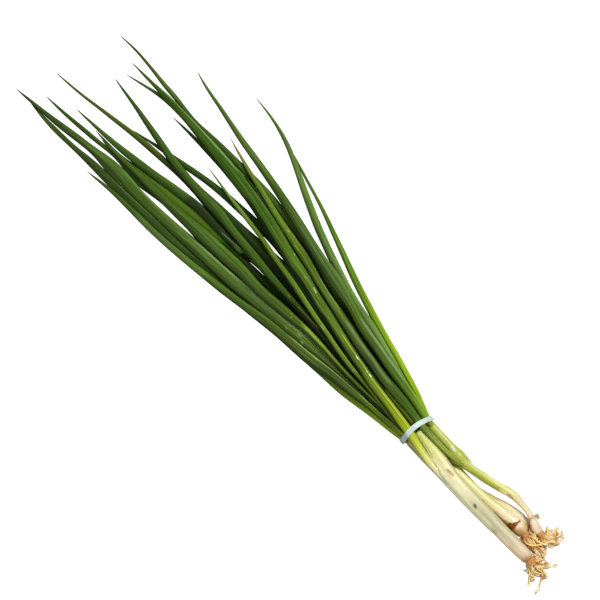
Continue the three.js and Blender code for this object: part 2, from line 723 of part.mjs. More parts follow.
for (const [name, { route, colour }] of Object.entries(LEAVES)) {
  const plant = name.slice(0, name.indexOf("_leaf"));
  const tube = { route, isStem: false, sides: LEAF_SIDES, stem: stems[plant] };
  layDown(tube, tubes);
  tubes.push(tube);
  addPiece(bunch, name, tubeGeometry(tube), colour, 0.5);
}

const grownRoots = [];
for (const [name, habit] of Object.entries(ROOTS)) {
  const tuft = rootTuft(habit, stems[name], Object.values(stems), grownRoots);
  grownRoots.push(...tuft.points);
  addPiece(bunch, `${name}_roots`, tuft.geometry, ROOT_TAN, 0.8);
}

for (const [name, skin] of Object.entries(SKINS)) {
  addPiece(bunch, name, skinGeometry(skin, stems[skin.stem]), SKIN_TAN, 0.8);
}

addPiece(bunch, "rubber_band", bandGeometry(tubes), BAND_BLUE, 0.6);

const footprint = new THREE.Box3().setFromObject(bunch);
const middle = footprint.getCenter(new THREE.Vector3());
bunch.position.set(-middle.x, -middle.y, -footprint.min.z);

const group = new THREE.Group();
group.add(bunch);

export default group;
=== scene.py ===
"""A tied bunch of five spring onions, lying on a pale floor and seen from straight above.

The bunch is laid out in millimetres along X, with the roots towards -X, the leaf tips towards +X and
the rubber band at x = 0. Each stem and leaf is a tube, and its route is a short list of
(x, y, width) rows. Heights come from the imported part, so every piece lies where its solid does.
"""

import logging
import math
import sys
from dataclasses import dataclass, field, replace
from enum import Enum
from typing import Iterable, Sequence, Union
import bmesh
import bpy
import numpy as np
from mathutils import Matrix, Vector


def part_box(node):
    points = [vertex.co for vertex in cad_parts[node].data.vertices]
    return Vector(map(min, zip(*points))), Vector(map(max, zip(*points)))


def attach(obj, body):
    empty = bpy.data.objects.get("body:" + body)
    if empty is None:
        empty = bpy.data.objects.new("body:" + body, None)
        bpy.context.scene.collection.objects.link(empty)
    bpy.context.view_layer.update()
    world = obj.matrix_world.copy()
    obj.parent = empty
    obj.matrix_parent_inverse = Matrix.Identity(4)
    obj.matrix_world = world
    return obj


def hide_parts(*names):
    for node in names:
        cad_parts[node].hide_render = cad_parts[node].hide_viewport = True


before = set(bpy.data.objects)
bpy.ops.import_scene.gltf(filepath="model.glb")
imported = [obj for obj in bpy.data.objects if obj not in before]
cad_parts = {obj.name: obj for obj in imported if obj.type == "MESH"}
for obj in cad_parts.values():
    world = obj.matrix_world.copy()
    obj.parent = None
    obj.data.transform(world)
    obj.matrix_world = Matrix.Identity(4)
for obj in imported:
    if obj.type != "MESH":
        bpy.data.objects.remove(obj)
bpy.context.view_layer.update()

MM = 0.001
BODY = "root"

# Places in the bunch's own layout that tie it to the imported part.
LONGEST_LEAF = "onion_5_leaf_3"
LONGEST_TIP_X = 314.0
OUTERMOST_LEAF = "onion_4_leaf_3"
OUTERMOST_EDGE_Y = -65.65

Rows = Sequence[Sequence[float]]
Colour = tuple[float, float, float, float]
Feed = Union[float, tuple, bpy.types.NodeSocket]

log = logging.getLogger("spring_onions")


def display_colour(code: int) -> Colour:
    """Linear colour of a display colour.

    Args:
        code: The display colour as 0xRRGGBB.

    Returns:
        Linear red, green and blue, and an alpha of 1.
    """
    channels = [(code >> shift & 0xFF) / 255 for shift in (16, 8, 0)]
    linear = [c / 12.92 if c <= 0.04045 else ((c + 0.055) / 1.055) ** 2.4 for c in channels]
    return (linear[0], linear[1], linear[2], 1.0)


class Slot(Enum):
    """The record's material slots."""

    WHITE_STEM = "white_stem"
    YELLOW_STEM = "yellow_stem"
    BRIGHT_LEAF = "bright_leaf"
    MID_LEAF = "mid_leaf"
    DARK_LEAF = "dark_leaf"
    BLOOM_LEAF = "bloom_leaf"
    OLIVE_LEAF = "olive_leaf"
    ROOT = "root"
    DRY_SKIN = "dry_skin"
    BAND = "band"


# Layout helpers


def smooth_rows(rows: Rows, places: np.ndarray) -> np.ndarray:
    """Smooth curves through the columns of some rows, with no overshoot between the rows.

    Args:
        rows: Rows that start with a rising place.
        places: Where to read the curves.

    Returns:
        One row for each place, with the value of every column after the first.
    """
    table = np.array(rows, float)
    x, values = table[:, 0], table[:, 1:]
    run = np.diff(x)[:, None]
    secant = np.diff(values, axis=0) / run
    slope = np.zeros_like(values)
    slope[0], slope[-1] = secant[0], secant[-1]
    before, after = secant[:-1], secant[1:]
    total = before + after
    same_way = before * after > 0
    slope[1:-1] = np.where(same_way, 2 * before * after / np.where(same_way, total, 1), 0)
    inside = np.clip(places, x[0], x[-1])
    i = np.clip(np.searchsorted(x, inside, side="right") - 1, 0, len(x) - 2)
    t = ((inside - x[i]) / run[i, 0])[:, None]
    start_slope, end_slope = slope[i] * run[i], slope[i + 1] * run[i]
    rise = values[i + 1] - values[i]
    bend = 3 * rise - 2 * start_slope - end_slope
    return values[i] + t * start_slope + t**2 * bend + t**3 * (start_slope + end_slope - 2 * rise)


def soften(values: np.ndarray, passes: int) -> np.ndarray:
    """Values with each one drawn towards its neighbours, again and again, while the two ends stay."""
    values = values.copy()
    for _ in range(passes):
        values[1:-1] = (values[:-2] + 2 * values[1:-1] + values[2:]) / 4
    return values


def smooth_step(values: np.ndarray, low: float, high: float) -> np.ndarray:
    """Values eased from 0 at low to 1 at high."""
    t = np.clip((values - low) / (high - low), 0, 1)
    return t * t * (3 - 2 * t)


def turns_from_below(sides: int) -> np.ndarray:
    """The angles of a section's corners, from underneath and round by the +Y side, in radians."""
    return -math.pi / 2 + np.arange(sides) * 2 * math.pi / sides


def squared_circle(angles: np.ndarray, squareness: float) -> tuple[np.ndarray, np.ndarray]:
    """Points (across, up) of a circle that is pressed towards a square as squareness rises above 2."""
    power = 2 / squareness
    across, up = np.cos(angles), np.sin(angles)
    return np.sign(across) * np.abs(across) ** power, np.sign(up) * np.abs(up) ** power


class Layout:
    """Turns the bunch's own millimetres into the part's frame."""

    def __init__(self) -> None:
        """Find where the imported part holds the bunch's origin."""
        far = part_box(LONGEST_LEAF)[1]
        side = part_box(OUTERMOST_LEAF)[0]
        self.shift = np.array([far.x / MM - LONGEST_TIP_X, side.y / MM - OUTERMOST_EDGE_Y, 0.0])

    def to_part(self, points: np.ndarray) -> np.ndarray:
        """Points in metres in the part's frame, from millimetres in the bunch's."""
        return (points + self.shift) * MM

    def place(self, x: float, y: float, z: float = 0.0) -> Vector:
        """One point in metres in the part's frame, from millimetres in the bunch's."""
        return Vector(self.to_part(np.array([x, y, z])))

    def heights(self, node: str) -> list[tuple[float, float, float]]:
        """Where a CAD tube runs, and how deep it is.

        Args:
            node: The tube's node name.

        Returns:
            (place along the bunch, height of the middle, half its depth) of each of its sections, in mm.
        """
        sections: dict[float, list[float]] = {}
        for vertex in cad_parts[node].data.vertices:
            x = round(vertex.co.x / MM - self.shift[0], 1)
            sections.setdefault(x, []).append(vertex.co.z / MM)
        rows = sorted(sections.items())
        return [(x, (min(zs) + max(zs)) / 2, (max(zs) - min(zs)) / 2) for x, zs in rows]


# Mesh helpers


def grid_mesh(name: str, rings: np.ndarray, along: np.ndarray, is_capped: bool = True) -> bpy.types.Mesh:
    """A closed skin through a row of rings.

    Its UV map holds the way round from underneath, from 0 to 1, and the way along, in metres.

    Args:
        name: The mesh's name.
        rings: Points in metres, as rings x corners x 3, each ring turning from the front to the top.
        along: The place along the bunch that each ring has in the UV map, in metres.
        is_capped: Whether the first and last rings are closed with a fan.

    Returns:
        The mesh, smooth all over.
    """
    count, sides = rings.shape[:2]
    start = np.arange(count - 1)[:, None] * sides
    here = np.arange(sides)[None, :]
    beside = (here + 1) % sides
    quads = np.stack([start + here, start + beside, start + beside + sides, start + here + sides], -1)
    faces = quads.reshape(-1, 4).tolist()
    low, high = np.broadcast_to(here / sides, (count - 1, sides)), (here + 1) / sides
    high = np.broadcast_to(high, (count - 1, sides))
    first = np.broadcast_to(along[:-1, None], (count - 1, sides))
    second = np.broadcast_to(along[1:, None], (count - 1, sides))
    corner_u = np.stack([low, high, high, low], -1).reshape(-1)
    corner_v = np.stack([first, first, second, second], -1).reshape(-1)
    points = rings.reshape(-1, 3)
    if is_capped:
        tail, nose = len(points), len(points) + 1
        points = np.vstack([points, rings[0].mean(axis=0), rings[-1].mean(axis=0)])
        last = (count - 1) * sides
        cap_u, cap_v = [], []
        for k in range(sides):
            following = (k + 1) % sides
            faces.append([tail, following, k])
            faces.append([nose, last + k, last + following])
            cap_u += [(k + 0.5) / sides, (k + 1) / sides, k / sides]
            cap_u += [(k + 0.5) / sides, k / sides, (k + 1) / sides]
            cap_v += [along[0]] * 3 + [along[-1]] * 3
        corner_u = np.concatenate([corner_u, cap_u])
        corner_v = np.concatenate([corner_v, cap_v])
    mesh = bpy.data.meshes.new(name)
    mesh.from_pydata(points.tolist(), [], faces)
    layer = mesh.uv_layers.new(name="skin")
    layer.uv.foreach_set("vector", np.stack([corner_u, corner_v], -1).astype(np.float32).ravel())
    mesh.shade_smooth()
    mesh.update()
    return mesh


def add_piece(
    name: str,
    mesh: bpy.types.Mesh,
    material: bpy.types.Material,
    nodes: Iterable[str],
) -> bpy.types.Object:
    """Put a finished piece in the scene and tie it to the frame.

    Args:
        name: The piece's name.
        mesh: Its mesh, in the part's frame.
        material: Its finish.
        nodes: The CAD nodes that it replaces.

    Returns:
        The new object.
    """
    piece = bpy.data.objects.new(name, mesh)
    bpy.context.scene.collection.objects.link(piece)
    mesh.materials.append(material)
    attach(piece, BODY)
    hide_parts(*nodes)
    log.info("%s: %d faces", name, len(mesh.polygons))
    return piece


# Shader helpers


class NodeSheet:
    """Adds nodes to one node tree and links them."""

    def __init__(self, tree: bpy.types.NodeTree) -> None:
        """Work on an existing node tree."""
        self.tree = tree

    def feed(self, socket: bpy.types.NodeSocket, value: Feed) -> None:
        """Link a socket to another, or set its value."""
        if isinstance(value, bpy.types.NodeSocket):
            self.tree.links.new(value, socket)
        else:
            socket.default_value = value

    def add(self, kind: str, inputs: dict | None = None, **settings: object) -> bpy.types.Node:
        """Add a node.

        Args:
            kind: Blender's name for the node.
            inputs: What feeds its input sockets, by name or number.
            **settings: The node's own properties.

        Returns:
            The node.
        """
        node = self.tree.nodes.new(kind)
        for name, value in settings.items():
            setattr(node, name, value)
        for key, value in (inputs or {}).items():
            self.feed(node.inputs[key], value)
        return node

    def math(self, operation: str, *values: Feed, is_clamped: bool = False) -> bpy.types.NodeSocket:
        """The result of one sum, product or the like."""
        inputs = dict(enumerate(values))
        return self.add("ShaderNodeMath", inputs, operation=operation, use_clamp=is_clamped).outputs[0]

    def vector_math(self, operation: str, *values: Feed) -> bpy.types.Node:
        """A Vector Math node fed with the given values."""
        return self.add("ShaderNodeVectorMath", dict(enumerate(values)), operation=operation)

    def mix(self, factor: Feed, first: Feed, second: Feed, mode: str = "MIX") -> bpy.types.NodeSocket:
        """Two colours mixed by a factor."""
        inputs = {0: factor, 6: first, 7: second}
        return self.add("ShaderNodeMix", inputs, data_type="RGBA", blend_type=mode).outputs[2]

    def tint(self, colour: Feed, mask: Feed, strength: float, code: int) -> bpy.types.NodeSocket:
        """A colour drawn towards a display colour, as far as a mask and a strength say."""
        return self.mix(self.math("MULTIPLY", mask, strength), colour, display_colour(code))

    def ease(
        self, value: Feed, low: Feed, high: Feed, start: Feed = 0.0, end: Feed = 1.0
    ) -> bpy.types.NodeSocket:
        """A value eased from start, where it is low, to end, where it is high."""
        inputs = {"Value": value, "From Min": low, "From Max": high, "To Min": start, "To Max": end}
        return self.add("ShaderNodeMapRange", inputs, interpolation_type="SMOOTHSTEP").outputs[0]

    def noise(self, place: Feed, scale: Feed, detail: float = 2.0) -> bpy.types.NodeSocket:
        """Soft noise from 0 to 1."""
        inputs = {"Vector": place, "Scale": scale, "Detail": detail}
        return self.add("ShaderNodeTexNoise", inputs).outputs["Fac"]

    def place_in_part(self) -> bpy.types.NodeSocket:
        """The place in the part, in metres."""
        return self.add("ShaderNodeTexCoord").outputs["Object"]

    def place_on_skin(self) -> tuple[bpy.types.NodeSocket, bpy.types.NodeSocket]:
        """The two numbers of the UV map: the way round, and the way along."""
        skin = self.add("ShaderNodeUVMap", uv_map="skin").outputs[0]
        parts = self.add("ShaderNodeSeparateXYZ", {0: skin})
        return parts.outputs[0], parts.outputs[1]

    def roughen(self, shader: bpy.types.Node, height: Feed, strength: float, distance: float) -> None:
        """Feed a shader's normal from a height.

        Args:
            shader: The shader.
            height: Where the surface is high and where it is low.
            strength: How much of the effect shows.
            distance: How far up the heights reach, in metres.
        """
        bump = self.add("ShaderNodeBump", {"Strength": strength, "Distance": distance, "Height": height})
        self.feed(shader.inputs["Normal"], bump.outputs[0])


def start_material(name: str) -> tuple[bpy.types.Material, NodeSheet, bpy.types.Node]:
    """A new material, the sheet of its nodes and its shader."""
    material = bpy.data.materials.new(name)
    material.use_nodes = True
    return material, NodeSheet(material.node_tree), material.node_tree.nodes["Principled BSDF"]


class Effect(Enum):
    """The surface effects that several finishes share, each one node group."""

    RIBS = "lengthwise ribs"
    PATCHES = "slow patches"
    SPECKS = "pale specks"
    STROKE = "stroke on the surface"
    STREAK = "lengthwise streak"


class Effects:
    """Builds each shared effect once, and places it in a material."""

    def __init__(self) -> None:
        """Build the groups."""
        self.groups = {
            Effect.RIBS: self._ribs(),
            Effect.PATCHES: self._patches(),
            Effect.SPECKS: self._specks(),
            Effect.STROKE: self._stroke(),
            Effect.STREAK: self._streak(),
        }

    def place(self, sheet: NodeSheet, effect: Effect, **inputs: Feed) -> bpy.types.NodeSocket:
        """Add an effect to a material.

        Args:
            sheet: The material's nodes.
            effect: Which effect.
            **inputs: Values or sockets by input name, with _ for a space.

        Returns:
            The effect's output socket.
        """
        group = sheet.add("ShaderNodeGroup", node_tree=self.groups[effect])
        for name, value in inputs.items():
            sheet.feed(group.inputs[name.replace("_", " ")], value)
        return group.outputs[0]

    @staticmethod
    def _new(
        effect: Effect, inputs: dict[str, str], output: str
    ) -> tuple[NodeSheet, dict, bpy.types.NodeSocket]:
        """Start a group.

        Args:
            effect: The effect it is for.
            inputs: The kind of each input socket, by name.
            output: The name of its one output, a number from 0 to 1.

        Returns:
            Its sheet, its input sockets by name, and the socket that its result goes to.
        """
        tree = bpy.data.node_groups.new(effect.value, "ShaderNodeTree")
        for name, kind in inputs.items():
            tree.interface.new_socket(name, in_out="INPUT", socket_type=kind)
        tree.interface.new_socket(output, in_out="OUTPUT", socket_type="NodeSocketFloat")
        sheet = NodeSheet(tree)
        entry = sheet.add("NodeGroupInput")
        result = sheet.add("NodeGroupOutput")
        return sheet, {name: entry.outputs[name] for name in inputs}, result.inputs[output]

    def _ribs(self) -> bpy.types.NodeTree:
        """Fine uneven ribs that run lengthwise round a tube."""
        inputs = {"Around": "NodeSocketFloat", "Along": "NodeSocketFloat", "Count": "NodeSocketFloat"}
        inputs |= {"Waver": "NodeSocketFloat", "Seed": "NodeSocketFloat"}
        sheet, given, result = self._new(Effect.RIBS, inputs, "Ribs")
        across = sheet.math("MULTIPLY", given["Around"], given["Count"])
        down = sheet.math("MULTIPLY", given["Along"], given["Waver"])
        place = sheet.add("ShaderNodeCombineXYZ", {0: across, 1: down, 2: given["Seed"]}).outputs[0]
        sheet.feed(result, sheet.ease(sheet.noise(place, 1.0, 3.0), 0.32, 0.68))
        return sheet.tree

    def _patches(self) -> bpy.types.NodeTree:
        """Slow uneven patches, longer along the bunch than across it."""
        inputs = {"Place": "NodeSocketVector", "Scale": "NodeSocketFloat", "Seed": "NodeSocketFloat"}
        sheet, given, result = self._new(Effect.PATCHES, inputs, "Patches")
        stretched = sheet.vector_math("MULTIPLY", given["Place"], (0.3, 1.0, 1.0)).outputs[0]
        moved = sheet.vector_math("ADD", stretched, given["Seed"]).outputs[0]
        sheet.feed(result, sheet.ease(sheet.noise(moved, given["Scale"], 3.0), 0.3, 0.7))
        return sheet.tree

    def _specks(self) -> bpy.types.NodeTree:
        """Small scattered specks that gather in some places."""
        inputs = {"Place": "NodeSocketVector", "Scale": "NodeSocketFloat", "Amount": "NodeSocketFloat"}
        sheet, given, result = self._new(Effect.SPECKS, inputs, "Specks")
        cells = sheet.add("ShaderNodeTexVoronoi", {"Vector": given["Place"], "Scale": given["Scale"]})
        dots = sheet.ease(cells.outputs["Distance"], 0.22, 0.1)
        gathered = sheet.noise(given["Place"], sheet.math("MULTIPLY", given["Scale"], 0.16), 1.0)
        least = sheet.math("SUBTRACT", 1.0, given["Amount"])
        most = sheet.math("ADD", least, 0.08)
        sheet.feed(result, sheet.math("MULTIPLY", dots, sheet.ease(gathered, least, most)))
        return sheet.tree

    def _stroke(self) -> bpy.types.NodeTree:
        """A soft ragged stroke between two points, seen from above."""
        inputs = {"Place": "NodeSocketVector", "Start": "NodeSocketVector", "End": "NodeSocketVector"}
        inputs |= {"Half Width": "NodeSocketFloat", "Softness": "NodeSocketFloat"}
        sheet, given, result = self._new(Effect.STROKE, inputs, "Stroke")
        flat = sheet.vector_math("MULTIPLY", given["Place"], (1.0, 1.0, 0.0)).outputs[0]
        offset = sheet.vector_math("SUBTRACT", flat, given["Start"]).outputs[0]
        run = sheet.vector_math("SUBTRACT", given["End"], given["Start"]).outputs[0]
        reach = sheet.vector_math("DOT_PRODUCT", offset, run).outputs["Value"]
        length = sheet.vector_math("DOT_PRODUCT", run, run).outputs["Value"]
        share = sheet.math("DIVIDE", reach, length, is_clamped=True)
        along = sheet.add("ShaderNodeVectorMath", {0: run, "Scale": share}, operation="SCALE").outputs[0]
        aside = sheet.vector_math("SUBTRACT", offset, along).outputs[0]
        distance = sheet.vector_math("LENGTH", aside).outputs["Value"]
        wobble = sheet.math("SUBTRACT", sheet.noise(given["Place"], 900.0, 2.0), 0.5)
        ragged = sheet.math("MULTIPLY", wobble, given["Half Width"])
        rough_distance = sheet.math("ADD", distance, ragged)
        outer = sheet.math("MULTIPLY", given["Half Width"], sheet.math("ADD", 1.0, given["Softness"]))
        inner = sheet.math("MULTIPLY", given["Half Width"], sheet.math("SUBTRACT", 1.0, given["Softness"]))
        sheet.feed(result, sheet.ease(rough_distance, outer, inner))
        return sheet.tree

    def _streak(self) -> bpy.types.NodeTree:
        """A soft broken line that follows a tube lengthwise."""
        inputs = {"Around": "NodeSocketFloat", "Along": "NodeSocketFloat", "Middle": "NodeSocketFloat"}
        inputs |= {"Half Width": "NodeSocketFloat", "Start": "NodeSocketFloat", "End": "NodeSocketFloat"}
        sheet, given, result = self._new(Effect.STREAK, inputs, "Streak")
        place = sheet.add("ShaderNodeCombineXYZ", {0: given["Around"], 1: given["Along"]}).outputs[0]
        stretched = sheet.vector_math("MULTIPLY", place, (4.0, 70.0, 1.0)).outputs[0]
        waver = sheet.math("SUBTRACT", sheet.noise(stretched, 1.0, 2.0), 0.5)
        aside = sheet.math("SUBTRACT", given["Around"], given["Middle"])
        moved = sheet.math("ADD", aside, sheet.math("MULTIPLY", waver, given["Half Width"]))
        inner = sheet.math("MULTIPLY", given["Half Width"], 0.4)
        across = sheet.ease(sheet.math("ABSOLUTE", moved), given["Half Width"], inner)
        fade = 0.12
        length = sheet.math("SUBTRACT", given["End"], given["Start"])
        share = sheet.math("DIVIDE", sheet.math("SUBTRACT", given["Along"], given["Start"]), length)
        fade_in = sheet.ease(share, 0.0, fade)
        fade_out = sheet.ease(share, 1.0, 1.0 - fade)
        sheet.feed(result, sheet.math("MULTIPLY", across, sheet.math("MULTIPLY", fade_in, fade_out)))
        return sheet.tree


# Finishes


@dataclass(frozen=True)
class Mark:
    """A stain, scar, crease or pale speck at a named place on a stem or leaf; a few marks are painted glints,
    painted shade or painted light.

    Its ends and half width are in the bunch's millimetres, and depth is how far it is pressed in.
    """

    start: tuple[float, float]
    end: tuple[float, float]
    half_width: float
    colour: int
    strength: float = 0.8
    softness: float = 0.6
    depth: float = 0.0


@dataclass(frozen=True)
class Streak:
    """A soft line that runs lengthwise on a stem or leaf. Most are painted highlights, painted light or
    painted shade; a few are lines of the skin's own colour.

    Its middle is a share of the way round, where 0.25 is the +Y side and 0.5 the top, and its ends are
    places along the bunch in millimetres.
    """

    middle: float
    half_width: float
    start: float
    end: float
    colour: int
    strength: float


@dataclass(frozen=True)
class TubeFinish:
    """The skin of a stem or leaf.

    Stops are (place along the bunch in mm, display colour). Ribs and threads lighten and darken the skin
    by their strengths. Away from the top, painted shade darkens the +Y side by painted_shade_side and painted
    light lightens the -Y side by painted_light_side, as the light from -Y would fall. Painted shade of
    flank_shade_colour also darkens the sides and underneath by flank_shade_strength.
    """

    slot: Slot
    stops: tuple[tuple[float, int], ...]
    rib_strength: float
    rib_count: float
    thread_strength: float
    patch_colour: int
    patch_strength: float
    flank_shade_colour: int
    flank_shade_strength: float
    speck_amount: float
    roughness: float
    coat: float
    specular: float = 0.4
    subsurface: float = 0.0
    bump: float = 0.4
    painted_shade_side: float = 0.0
    painted_light_side: float = 0.0


LEAF_STOPS = {
    "lime": (
        (-10, 0xB2BE34), (5, 0xA2C608), (30, 0x96B80E), (60, 0x82A810), (100, 0x628A12), (140, 0x547618),
        (176, 0x4A6A16),
    ),
    "bright": (
        (-46, 0xF6F0CC), (-26, 0xEAE4B2), (-18, 0xE6DF8E), (-8, 0xC8D042), (4, 0xACBE16), (18, 0x94A812),
        (30, 0x788E14), (45, 0x607812), (80, 0x526A14), (110, 0x587616), (150, 0x42640E), (200, 0x325506),
        (278, 0x3E600C),
    ),
    "fresh": (
        (-4, 0x465E0C), (30, 0x4E680E), (60, 0x68801E), (100, 0x6E9024), (140, 0x6C8C20), (201, 0x5C7430),
    ),
    "mid": (
        (-20, 0xB0B448), (10, 0x546408), (40, 0x384C05), (90, 0x46600E), (150, 0x466412), (200, 0x3A580C),
        (290, 0x405C10),
    ),
    # The near run is lifted pale up to 20 as painted light, where its leaf's foot lies in shade.
    "near": (
        (-10, 0xC0C45A), (8, 0xA8B836), (20, 0x7E9A1A), (34, 0x465E08), (60, 0x364A08), (90, 0x40580C),
        (150, 0x466412), (200, 0x3A580C), (290, 0x405C10),
    ),
    # The edge run is lifted bright from 5 to 50 as painted light, where its leaf lies in the shade of those
    # above it.
    "edge": (
        (-10, 0xACC24A), (5, 0xB0D240), (20, 0xB0D43C), (50, 0x80A41E), (100, 0x4E6E12), (170, 0x2C4608),
        (230, 0x2A4006), (300, 0x3C580C),
    ),
    # The deep run is darkest near 50 as painted shade, where this leaf lies under another.
    "deep": (
        (-6, 0x4A560C), (50, 0x182604), (100, 0x263604), (140, 0x40600E), (160, 0x446414), (200, 0x3A560E),
        (280, 0x3C580E),
    ),
    "dark": (
        (-30, 0x929F34), (-12, 0x8A9A3A), (8, 0x44650F), (20, 0x466712), (50, 0x3E4C0C), (100, 0x5A7616),
        (130, 0x668618), (150, 0x6C8C1C), (190, 0x6E7E30),
    ),
    "broad": (
        (6, 0x4C6610), (50, 0x3A5006), (90, 0x4E6A16), (130, 0x4E6A1A), (160, 0x4C681A), (220, 0x42600E),
        (290, 0x384C0A), (314, 0x344808),
    ),
    # The shade run is the leaves' green darkened by painted shade, for leaves that lie under others.
    "shade": ((-10, 0x4A4A08), (40, 0x243806), (100, 0x1C3004), (180, 0x284406), (250, 0x365408)),
    "bloom": (
        (-10, 0xACB838), (5, 0x78980E), (20, 0x64840E), (30, 0x507010), (60, 0x4C6814), (110, 0x446018),
        (160, 0x426012), (200, 0x526E1C), (247, 0x4A6810),
    ),
    "pale": ((0, 0x6C8C22), (50, 0x688A38), (100, 0x5E8030), (150, 0x587820), (212, 0x4E6E16)),
    "olive": (
        (0, 0x4E540A), (60, 0x30440A), (160, 0x324E0A), (200, 0x284006), (250, 0x4A5C10), (304, 0x465E10),
    ),
}

STEM_STOPS = {
    "white": (
        (-104, 0xD2B48A), (-95, 0xDCC6A6), (-75, 0xB2A77E), (-62, 0xBAB27C), (-45, 0xE6E2BA),
        (-30, 0xE4E0B0), (-20, 0xDEDC94), (-8, 0xC8CE66), (20, 0x8FA83A),
    ),
    "cream": (
        (-88, 0xDCC088), (-80, 0xF2E2C8), (-70, 0xEEE0BC), (-60, 0xE6DCA2), (-45, 0xDEDC96),
        (-30, 0xD8D87C), (-10, 0xB4BE50), (50, 0x5F7F28),
    ),
    "yellow": (
        (-89, 0xE6D2AC), (-80, 0xECDFC0), (-60, 0xE8DC96), (-45, 0xDADA78), (-25, 0xB0B850), (0, 0x7E9030),
        (55, 0x4A6420),
    ),
    "green": (
        (-97, 0xE6CFAA), (-88, 0xE2D0B8), (-75, 0xE6D6AC), (-66, 0xE4DA98), (-58, 0xD0C868),
        (-48, 0xBCC04E), (-38, 0xB4BC4A), (-28, 0xB2BC46), (-12, 0xC0C85C), (0, 0xA8B834), (6, 0x90A824),
    ),
    # The hidden run is lifted near white from -50 to -30 as painted light, where the stem lies in another's
    # shade, and turns near black past the band as painted shade where it shows between leaves.
    "hidden": (
        (-84, 0xE8DCC0), (-50, 0xF6F2CE), (-30, 0xFFFCD0), (-10, 0xBCBC60), (6, 0x6F8028), (16, 0x2A380C),
        (44, 0x141E06),
    ),
}


def stem_finish(slot: Slot, stops: str, flank_shade: float) -> TubeFinish:
    """A stem's finish.

    Args:
        slot: The record's slot.
        stops: Which run of colours it has.
        flank_shade: How much painted shade darkens its sides and underneath.

    Returns:
        The finish.
    """
    return TubeFinish(
        slot=slot,
        stops=STEM_STOPS[stops],
        rib_strength=0.06,
        rib_count=30.0,
        thread_strength=0.1,
        patch_colour=0xCAC8A0,
        patch_strength=0.16,
        flank_shade_colour=0xA8A460,
        flank_shade_strength=flank_shade,
        speck_amount=0.0,
        roughness=0.38,
        coat=0.2,
        subsurface=0.6,
        bump=0.3,
    )


